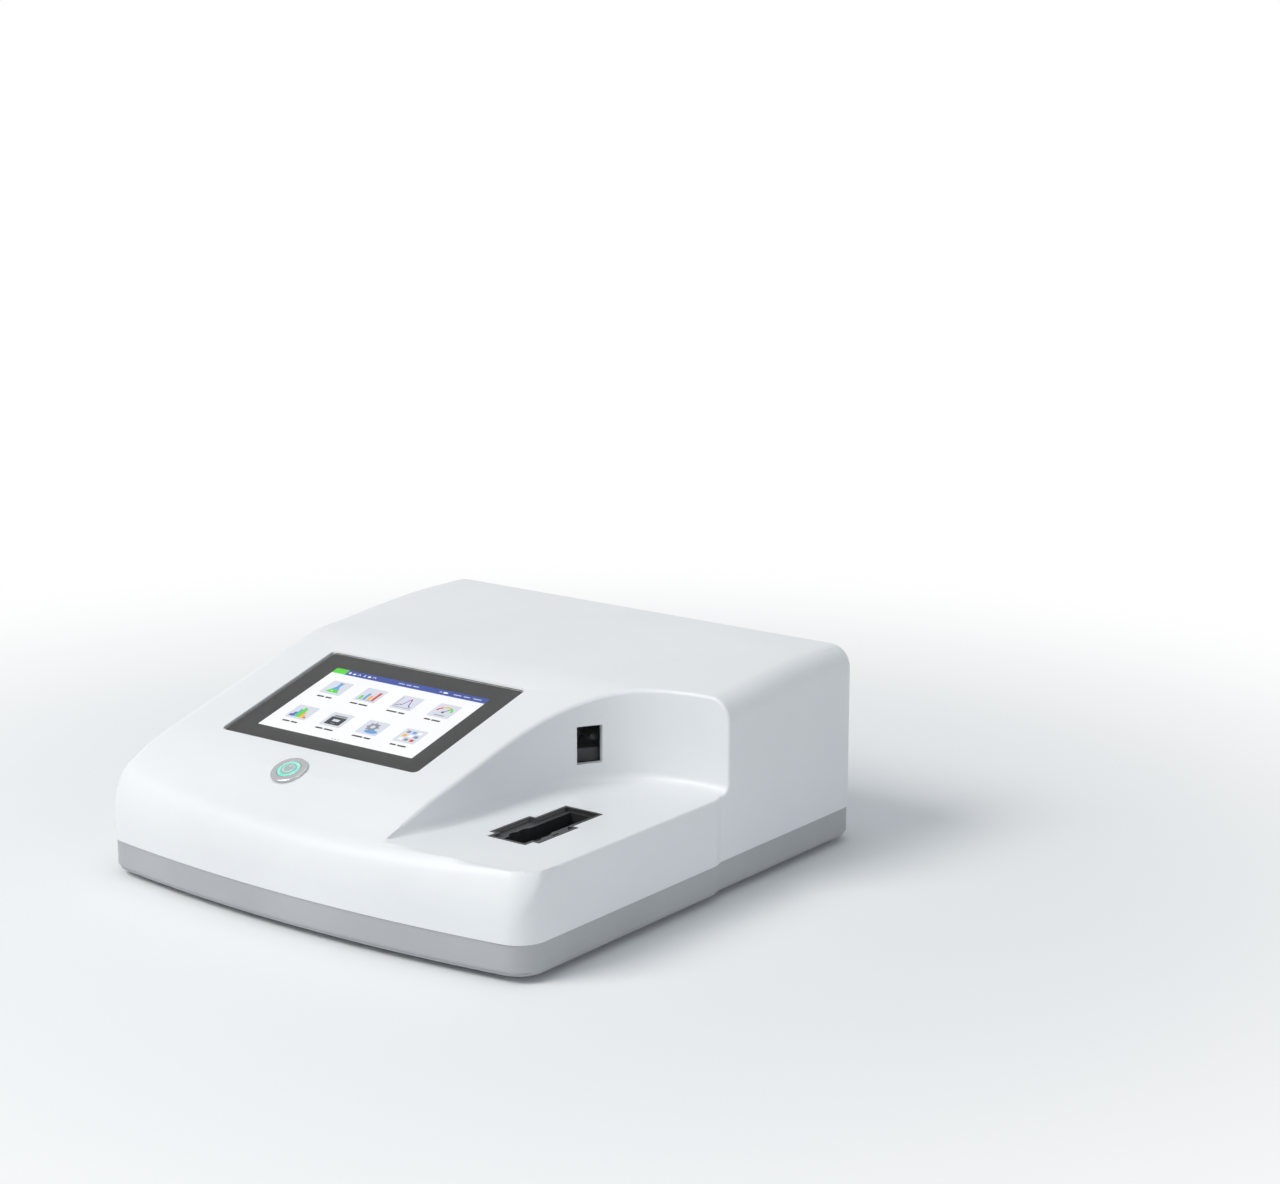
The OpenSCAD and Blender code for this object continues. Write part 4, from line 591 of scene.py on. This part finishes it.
def arc(x, y, r, start, end, steps=24):
    """Points along a circle of radius r about x, y from one angle to another, in degrees."""
    a = np.radians(np.linspace(start, end, steps))
    return np.stack([x + r * np.cos(a), y + r * np.sin(a)], axis=1)


def sides_of(path, width):
    """The path moved half the width to its left and to its right, square to the way its neighbours run."""
    path = np.asarray(path, dtype=float)
    run = np.gradient(path, axis=0)
    side = np.stack([-run[:, 1], run[:, 0]], axis=1) / np.linalg.norm(run, axis=1, keepdims=True) * width / 2
    return path + side, path - side


def stroke(path, width):
    """Outline of a line of even width: along its left side and back along its right side."""
    left, right = sides_of(path, width)
    return np.concatenate([right, left[::-1]])


inks = {
    "white": lit_ink("lit_white", 252, 252, 253),
    "blue": lit_ink("lit_blue", 0, 58, 158),
    "green": lit_ink("lit_green", 66, 216, 14),
    "tile": lit_ink("lit_tile", 216, 220, 233),
    "dark": lit_ink("lit_dark", 12, 12, 16),
    "grey": lit_ink("lit_grey", 132, 137, 146),
    "sky": lit_ink("lit_sky", 84, 156, 222),
    "red": lit_ink("lit_red", 214, 34, 22),
    "amber": lit_ink("lit_amber", 246, 182, 10),
    "violet": lit_ink("lit_violet", 70, 52, 160),
}
columns = (-38.3, -13.5, 11.9, 37.8)
rows = (13.6, -14.3)
lit_w, lit_l = 108.0, 64.8
bar_y, bar_l = 29.9, 5.0
patches = [(card(0, 0, lit_w, lit_l), "white", 0), (card(0, bar_y, lit_w, bar_l), "blue", 1),
           (card(-49.4, bar_y, 9.2, bar_l), "green", 2)]

# Top bar: a row of small signs, a title of bare dashes, a charge sign and a time of bare dashes
patches += [(disc(-42.6, bar_y, 0.9), "white", 2), (card(-39.2, 29.6, 1.9, 1.4), "white", 2),
            (stroke([[-36.6, 29.2], [-35.8, 30.6], [-35.0, 29.2]], 0.5), "white", 2),
            (card(-32.0, bar_y, 0.7, 2.0), "white", 2), (disc(-28.6, bar_y, 1.1, 0.8), "white", 2),
            (stroke(arc(-25.0, 29.4, 1.0, 10, 170), 0.5), "white", 2),
            (card(25.2, bar_y, 2.6, 1.5), "white", 2), (card(26.8, bar_y, 0.5, 0.7, 0.1), "white", 2)]
bar_dashes = ((-5.5, 4.2), (-0.4, 3.6), (4.6, 4.0), (22.0, 1.8), (33.6, 5.4), (40.0, 4.2), (47.2, 5.6))
patches += [(card(x, bar_y, w, 0.7), "tile", 2) for x, w in bar_dashes]

# Tiles, their captions as two bare strokes, and three dots for the pages
patches += [(card(x, y, 14.6, 13.4, 0.8), "tile", 1) for x in columns for y in rows]
patches += [(card(x + shift, y - 9.9, w, 1.3), "dark", 1)
            for x, spans in zip(columns, (((-2.9, 5.0), (2.9, 4.4)), ((-3.9, 5.2), (2.6, 6.2)),
                                          ((-2.4, 7.2), (4.3, 4.4)), ((-3.6, 4.2), (2.3, 5.8))))
            for shift, w in spans for y in rows]
patches += [(disc(x, -31.0, 0.42), ink, 1) for x, ink in ((-2, "grey"), (0, "dark"), (2, "grey"))]

# Flask with a green filling
x, y = columns[0], rows[0]
flask = np.array([[-1.1, 5], [-1.1, 1.4], [-4.3, -4.6], [4.3, -4.6], [1.1, 1.4], [1.1, 5]]) + [x, y]
filling = np.array([[-2.6, -1.4], [-4.3, -4.6], [4.3, -4.6], [2.6, -1.4]]) + [x, y]
patches += [(flask, "sky", 2), (filling, "green", 3),
            (card(x, y + 5.1, 3.2, 0.7), "grey", 3), (disc(x - 0.9, y - 3.0, 0.5), "white", 4)]

# Column chart in four colours
x, y = columns[1], rows[0]
patches += [(card(x + (n - 1.5) * 2.9, y - 4.6 + h / 2, 1.9, h), ink, 2)
            for n, (h, ink) in enumerate(((3.4, "green"), (6.2, "sky"), (4.6, "amber"), (8.6, "red")))]
patches += [(card(x, y - 5.0, 12.4, 0.4, 0.1), "grey", 3)]

# Measured curve on its two axes
x, y = columns[2], rows[0]
run = np.linspace(-5.2, 5.2, 40)
hump = -3.6 + 7.2 * np.exp(-((run - 0.6) / 1.9) ** 2) + 1.6 * np.exp(-((run + 3.4) / 0.8) ** 2)
patches += [(stroke(np.stack([x + run, y + hump], axis=1), 0.6), "violet", 3),
            (card(x, y - 4.8, 11.6, 0.4, 0.1), "grey", 2), (card(x - 5.8, y, 0.4, 10.0, 0.1), "grey", 2),
            (disc(x + 0.6, y + 3.6, 0.7), "red", 4), (disc(x - 3.4, y - 1.8, 0.55), "amber", 4)]

# Round scale with its hand
x, y = columns[3], rows[0]
patches += [(stroke(arc(x, y - 1.4, 5.0, start, end), 1.3), ink, 2)
            for start, end, ink in ((12, 66, "green"), (70, 118, "amber"), (122, 168, "red"))]
patches += [(disc(x, y - 1.4, 0.9), "dark", 4), (stroke([[x, y - 1.4], [x + 2.6, y + 2.0]], 0.6), "dark", 3),
            (card(x, y - 4.6, 7.0, 0.7), "grey", 2)]

# Spread of colours under a bell curve
x, y = columns[0], rows[1]
bell = [8.8 * math.exp(-((n - 3.2) / 2.3) ** 2) + 0.9 for n in range(8)]
spread = ("violet", "blue", "sky", "green", "green", "amber", "amber", "red")
patches += [(card(x + (n - 3.5) * 1.45, y - 4.9 + h / 2, 1.4, h, 0.1), ink, 2)
            for n, (h, ink) in enumerate(zip(bell, spread))]

# Filing box with its label
x, y = columns[1], rows[1]
patches += [(card(x, y - 1.2, 10.4, 7.6, 0.6), "dark", 2), (card(x, y + 3.6, 9.0, 1.5, 0.4), "grey", 2),
            (card(x, y - 0.6, 4.6, 2.2), "tile", 3), (card(x, y - 3.6, 2.6, 0.6), "grey", 3)]

# Toothed wheel over a round dish
x, y = columns[2], rows[1]
teeth = np.radians(np.arange(8) * 45.0)
patches += [(disc(x + 1.6, y - 3.6, 4.4, 1.7), "sky", 2), (disc(x - 0.6, y + 0.8, 3.3), "grey", 3),
            (disc(x - 0.6, y + 0.8, 1.5), "tile", 4)]
patches += [(card(x - 0.6 + 3.6 * math.cos(a), y + 0.8 + 3.6 * math.sin(a), 1.2, 1.2), "grey", 3)
            for a in teeth]

# Nine small fields of different colours
x, y = columns[3], rows[1]
field_inks = ("grey", "sky", "white", "amber", "white", "grey", "white", "grey", "red")
patches += [(card(x + (n % 3 - 1) * 3.8, y + (1 - n // 3) * 3.6, 2.6, 2.3), ink, 2)
            for n, ink in enumerate(field_inks)]


def lay_flat(name, pieces, place, depth, step):
    """Flat outlines turned to face up and laid one above another: each level lies one step over the last."""
    outlines, order, first = [], [], 0
    for outline, ink, level in pieces:
        following = np.roll(outline, -1, axis=0)
        turn = np.sum(outline[:, 0] * following[:, 1] - following[:, 0] * outline[:, 1])
        outline = outline if turn > 0 else outline[::-1]
        outlines.append(np.column_stack([outline, np.full(len(outline), depth + step * level)]))
        order.append(list(range(first, first + len(outline))))
        first += len(outline)
    points = (np.concatenate(outlines) @ place[:3, :3].T + place[:3, 3]) / 1000
    mesh = bpy.data.meshes.new(name)
    mesh.from_pydata(points.tolist(), [], order)
    names = list(inks)
    for ink in names:
        mesh.materials.append(inks[ink])
    chosen = np.array([names.index(ink) for _, ink, _ in pieces], dtype=np.int32)
    mesh.polygons.foreach_set("material_index", chosen)
    piece = bpy.data.objects.new(name, mesh)
    bpy.context.scene.collection.objects.link(piece)
    return piece


picture = lay_flat("lit_picture", patches, display_place, -1.49, 0.03)
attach(picture, "housing")

# Printed border: dark ink on the back of the cover glass round the lit area.
# Bonded to the pane, so it lies a hair inside it; it hides the gasket and the panel's edges.
glass_w, glass_l, glass_r, glass_t = 136.0, 91.0, 3.0, 1.5
print_w, print_l, print_r = glass_w - 0.7, glass_l - 0.7, glass_r - 0.35
print_low, print_top = -1.6, -1.42
border_ink = moulded_plastic("border_ink", linear(20, 20, 22), linear(30, 30, 32), 0.5, grain=0.0002,
                             strength=0.02)
border_rows = np.stack([rounded_ring(print_w, print_l, print_r, print_low),
                        rounded_ring(print_w, print_l, print_r, print_top),
                        rounded_ring(lit_w, lit_l, 0.3, print_top),
                        rounded_ring(lit_w, lit_l, 0.3, print_low)])
border_print = new_piece("border_print", [border_rows], display_place, border_ink, joined=True)
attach(border_print, "housing")

# Cover glass: one clear pane with rounded corners and a ground edge, let into the shell.
# Toughened glass with the print in its back; it carries the touch layer.
pane_glass = polished_glass("cover_glass_clear", linear(250, 252, 252), 0.02, 0.004, bending=1.26)
pane_rows = np.stack([rounded_ring(glass_w - 2 * inset, glass_l - 2 * inset, glass_r - inset, height)
                      for inset, height in ((0.3, -glass_t), (0.0, 0.3 - glass_t), (0.0, -0.3),
                                            (0.085, -0.09), (0.3, 0.0))])
cover_pane = new_piece("cover_pane", [pane_rows], display_place, pane_glass, crease=20.0)
put_in_place(cover_pane, "display_glass")

# Power switch barrel: stainless flange on a threaded barrel with three solder tags.
# Turned from bar; the nut behind the shell pulls the flange onto its flat.


def turned(profile, around=96):
    """A profile of radii r and heights z carried round Z: (r cos a, r sin a, z). Radius 0 makes a pole."""
    profile = np.asarray(profile, dtype=float)
    a = np.linspace(0, 2 * np.pi, around, endpoint=False)
    return np.stack([np.outer(profile[:, 0], np.cos(a)), np.outer(profile[:, 0], np.sin(a)),
                     np.repeat(profile[:, 1:], around, axis=1)], axis=2)


def lathe_steel(name, low, high, roughness, place, pitch):
    """Steel faced on a lathe: fine rings about the piece's own axis, a pitch in millimetres apart, change
    tone and relief a little."""
    made, shader = fresh_material(name, high, roughness, 1.0)
    nodes, links = made.node_tree.nodes, made.node_tree.links
    where = nodes.new("ShaderNodeTexCoord")
    centred = nodes.new("ShaderNodeMapping")
    centred.vector_type = "TEXTURE"
    centred.inputs["Location"].default_value = tuple(place[:3, 3] / 1000)
    centred.inputs["Rotation"].default_value = (math.atan2(place[2, 1], place[1, 1]), 0.0, 0.0)
    marks = nodes.new("ShaderNodeTexWave")
    marks.wave_type = "RINGS"
    marks.rings_direction = "Z"
    marks.inputs["Scale"].default_value = 2 * math.pi / (20 * pitch / 1000)
    marks.inputs["Distortion"].default_value = 1.2
    links.new(where.outputs["Object"], centred.inputs["Vector"])
    links.new(centred.outputs["Vector"], marks.inputs["Vector"])
    links.new(between(made, marks.outputs["Fac"], low, high, 0.1, 0.9), shader.inputs["Base Color"])
    relief(made, shader, marks.outputs["Fac"], 0.12, 0.00001)
    return made


switch_place = standing(-36, -110, 68.3025, tilt=22.0047)
switch_steel = lathe_steel("switch_turned_steel", linear(176, 177, 179), linear(192, 193, 195), 0.22,
                           switch_place, pitch=0.22)
barrel_r, thread_depth, half_pitch, bore_r, flange_r, flange_top = 8.0, 0.45, 0.5, 6.56, 10, 1.2
thread = [[barrel_r - thread_depth * (n % 2), -0.9 - half_pitch * n] for n in range(45)]
barrel_profile = ([[0, -8], [bore_r, -8], [bore_r, 1.06], [6.7, flange_top], [9.2, flange_top], [9.55, 1.12],
                   [9.82, 0.92], [9.96, 0.66], [flange_r, 0.4], [flange_r, -0.3], [barrel_r, -0.3]]
                  + thread + [[7.6, -23.9], [0, -24]])
tags = [strip([[x, -0.4, -26], [x, 0.4, -26]], 2.0, 6.0) for x in (-4, 0, 4)]
switch_barrel = new_piece("switch_barrel", [turned(barrel_profile)], switch_place, switch_steel, capped=False)
put_in_place(switch_barrel, "switch_body")
switch_tags = new_piece("switch_tags", tags, switch_place, contact_gold)
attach(switch_tags, "housing")
finished("switch_nut", zinc_steel)

# Power button: the domed plunger that slides in the barrel.
# Turned stainless steel; a groove near its rim holds the lit ring.
dome_rise, dome_r = 0.5, 6.5


def dome_height(r):
    """Height of the plunger's top at radius r: the flange's height plus a shallow parabola."""
    return flange_top + dome_rise * (1 - (np.asarray(r) / dome_r) ** 2)


inner_r, outer_r, slack = 4.6, 6.1, 0.04
crown = [[r, float(dome_height(r))] for r in (inner_r - slack, 3.8, 3.0, 2.2, 1.4, 0.7, 0.0)]
plunger_profile = [[0, -6.5], [dome_r, -6.5], [dome_r, 1.12], [6.4, 1.22], [outer_r + slack, 1.25],
                   [outer_r + slack, 0.6], [inner_r - slack, 0.6]] + crown
plunger = new_piece("plunger", [turned(plunger_profile)], switch_place, switch_steel, capped=False)
put_in_place(plunger, "power_button")

# Lit ring and sign: mint resin in the plunger's groove, and the on and off sign in the same resin.
# The resin is cast over small lamps, so it glows a little unevenly.
ring_mint, ring_shader = fresh_material("ring_mint_resin", linear(120, 222, 200), 0.3)
ring_tone = clouded(ring_mint, ring_shader, 0.003, 2.0, linear(96, 206, 184), linear(140, 232, 212))
ring_mint.node_tree.links.new(ring_tone, ring_shader.inputs["Emission Color"])
ring_shader.inputs["Emission Strength"].default_value = 0.3
ring_profile = [[inner_r, 0.66], [outer_r, 0.66], [outer_r, 1.24], [outer_r - 0.1, 1.27], [5.35, 1.38],
                [inner_r + 0.1, float(dome_height(inner_r))], [inner_r, 1.42]]
lit_ring = new_piece("lit_ring", [turned(ring_profile)], switch_place, ring_mint, joined=True)
put_in_place(lit_ring, "button_ring")


def raised_line(path, width, rise):
    """A thin line that follows the dome: both sides of the path at the dome's height plus the rise, and
    again just below the surface."""
    left, right = sides_of(path, width)
    corners = ((left, -0.1), (right, -0.1), (right, rise), (left, rise))
    return np.stack([np.column_stack([edge, dome_height(np.hypot(edge[:, 0], edge[:, 1])) + lift])
                     for edge, lift in corners], axis=1)


sign_lines = [raised_line(arc(0, 0, 2.95, 126, 414, 36), 0.6, 0.03),
              raised_line(np.column_stack([np.zeros(6), np.linspace(1.1, 3.75, 6)]), 0.6, 0.03)]
power_sign = new_piece("power_sign", sign_lines, switch_place, ring_mint)
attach(power_sign, "power_button")

# Cuvette insert: black moulding let into the deck that leads the cells down into the holder.
# Fine grain with a soft sheen; its upper edges are crisp and level with the deck.
insert_black = moulded_plastic("insert_black_plastic", linear(40, 40, 42), linear(52, 52, 54), 0.36,
                               strength=0.35)
finished("cuvette_insert", insert_black)

# Scanner window, tunnel and module: a clear pane behind the curved wall, a dark tunnel and the code reader.
# The tunnel has a ledge that keeps stray light off the lens.
pane_clear = polished_glass("scanner_pane", linear(246, 248, 250), bending=1.1)
finished("scanner_window", pane_clear)
tunnel_black = moulded_plastic("tunnel_dark_plastic", linear(36, 36, 38), linear(50, 50, 52), 0.45)
finished("scanner_tunnel", tunnel_black)
module_black = moulded_plastic("module_black_plastic", linear(20, 20, 22), linear(30, 30, 32), 0.45)
finished("scanner_module", module_black)

# Reader lens: a small domed lens in a black barrel that stands on the module's front, at the tunnel's side.
# Moulded clear plastic, glossy, over a dark sensor.
lens_place = standing(71.8315, 0.474922, 75.3, turn=-122.421) @ standing(-4.55, -8.4, 1.9, tilt=-90.0)
dome_clear = polished_glass("reader_lens_clear", linear(176, 190, 204), 0.03)
lens_r, lens_rise = 1.88, 0.8
lens_profile = [[0, -0.3], [lens_r, -0.3]] + [[lens_r * math.sin(a), lens_rise * math.cos(a)]
                                              for a in np.radians(range(90, -1, -15))]
reader_lens = new_piece("reader_lens", [turned(lens_profile, 48)], lens_place, dome_clear, capped=False)
ring_dark = moulded_plastic("reader_ring_black", linear(34, 34, 37), linear(46, 46, 50), 0.28)
collar_profile = [[1.9, 0.0], [1.9, -10.6], [2.38, -10.6], [2.38, 0.35], [2.25, 0.5], [1.98, 0.3]]
reader_collar = new_piece("reader_collar", [turned(collar_profile, 48)], lens_place, ring_dark, joined=True)
for reader_part, reader_slot in ((reader_lens, "clear_glass"), (reader_collar, "black_plastic")):
    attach(reader_part, "housing")

# Top shell: the white moulding with crown, bowed front, curved wall and deck.
# Cool white plastic with a fine satin grain.
shell_white = moulded_plastic("shell_white_plastic", linear(230, 232, 234), linear(235, 237, 239), 0.4,
                              strength=0.35, depth=0.00004)
finished("top_shell", shell_white, flats=0.3)

# Studio: camera at the photographed angle, a pale floor that fades to the white surroundings, soft lamps.
# The key light stands at the front left, a broad one overhead and a weak one at the right.
view_turn = math.radians(37.0)
view_rise = math.radians(13.2)
back = (math.sin(view_turn) * math.cos(view_rise), -math.cos(view_turn) * math.cos(view_rise),
        math.sin(view_rise))
camera_data = bpy.data.cameras.new("studio_camera")
camera_data.lens = 81.5625
camera_data.sensor_width = 36.0
camera_data.clip_start = 0.05
camera_data.clip_end = 50.0
camera = bpy.data.objects.new("studio_camera", camera_data)
bpy.context.scene.collection.objects.link(camera)
camera.location = (0.9607, -1.1356, 0.4947)
camera.rotation_mode = "QUATERNION"
camera.rotation_quaternion = (-Vector(back)).to_track_quat("-Z", "Y")
bpy.context.scene.camera = camera


def seen_by_eye(tree):
    """1 for camera, glossy and transmission rays, 0 for the light that falls on the object."""
    paths = tree.nodes.new("ShaderNodeLightPath")
    total = paths.outputs["Is Camera Ray"]
    for ray in ("Is Glossy Ray", "Is Transmission Ray"):
        most = tree.nodes.new("ShaderNodeMath")
        most.operation = "MAXIMUM"
        tree.links.new(total, most.inputs[0])
        tree.links.new(paths.outputs[ray], most.inputs[1])
        total = most.outputs["Value"]
    return total


reach = 6
fade_start, fade_end = 0.2, 0.75
floor_mesh = bpy.data.meshes.new("studio_floor")
floor_mesh.from_pydata([(-reach, -reach, 0), (reach, -reach, 0), (reach, reach, 0), (-reach, reach, 0)], [],
                       [(0, 1, 2, 3)])
floor = bpy.data.objects.new("studio_floor", floor_mesh)
bpy.context.scene.collection.objects.link(floor)
floor_paint, floor_shader = fresh_material("studio_floor_paint", linear(244, 245, 246), 0.9)
floor_tree = floor_paint.node_tree
floor_place = floor_tree.nodes.new("ShaderNodeTexCoord")
floor_reach = floor_tree.nodes.new("ShaderNodeVectorMath")
floor_reach.operation = "LENGTH"
floor_tree.links.new(floor_place.outputs["Object"], floor_reach.inputs[0])
floor_fade = floor_tree.nodes.new("ShaderNodeMapRange")
floor_fade.interpolation_type = "SMOOTHSTEP"
floor_fade.inputs["From Min"].default_value = fade_start
floor_fade.inputs["From Max"].default_value = fade_end
floor_tree.links.new(floor_reach.outputs["Value"], floor_fade.inputs["Value"])
floor_share = floor_tree.nodes.new("ShaderNodeMath")
floor_share.operation = "MULTIPLY"
floor_tree.links.new(floor_fade.outputs["Result"], floor_share.inputs[0])
floor_tree.links.new(seen_by_eye(floor_tree), floor_share.inputs[1])
floor_white = floor_tree.nodes.new("ShaderNodeEmission")
floor_mix = floor_tree.nodes.new("ShaderNodeMixShader")
floor_tree.links.new(floor_share.outputs["Value"], floor_mix.inputs["Fac"])
floor_tree.links.new(floor_shader.outputs["BSDF"], floor_mix.inputs[1])
floor_tree.links.new(floor_white.outputs["Emission"], floor_mix.inputs[2])
floor_tree.links.new(floor_mix.outputs["Shader"], floor_tree.nodes["Material Output"].inputs["Surface"])
floor_mesh.materials.append(floor_paint)

lamps = (("key_light", (-0.8, -1.65, 1.95), 1.3, 43.0), ("top_light", (0.1, 0.3, 2.1), 1.6, 4.0),
         ("side_light", (2.0, -0.7, 0.9), 0.9, 3.5))
for label, spot, size, power in lamps:
    lamp_data = bpy.data.lights.new(label, "AREA")
    lamp_data.shape = "SQUARE"
    lamp_data.size = size
    lamp_data.energy = power
    lamp_data.color = (1.0, 0.985, 0.96)
    lamp = bpy.data.objects.new(label, lamp_data)
    bpy.context.scene.collection.objects.link(lamp)
    lamp.location = spot
    lamp.rotation_mode = "QUATERNION"
    lamp.rotation_quaternion = (Vector((0.0, 0.0, 0.05)) - Vector(spot)).to_track_quat("-Z", "Y")

world = bpy.data.worlds.new("studio_world")
world.use_nodes = True
bpy.context.scene.world = world
world_tree = world.node_tree
sky = world_tree.nodes["Background"]
sky.inputs["Color"].default_value = (0.84, 0.93, 1.0, 1.0)
sky.inputs["Strength"].default_value = 0.4
white_room = world_tree.nodes.new("ShaderNodeBackground")
white_room.inputs["Color"].default_value = (1.0, 1.0, 1.0, 1.0)
room_mix = world_tree.nodes.new("ShaderNodeMixShader")
world_tree.links.new(seen_by_eye(world_tree), room_mix.inputs["Fac"])
world_tree.links.new(sky.outputs["Background"], room_mix.inputs[1])
world_tree.links.new(white_room.outputs["Background"], room_mix.inputs[2])
world_tree.links.new(room_mix.outputs["Shader"], world_tree.nodes["World Output"].inputs["Surface"])
bpy.context.scene.view_settings.view_transform = "Standard"
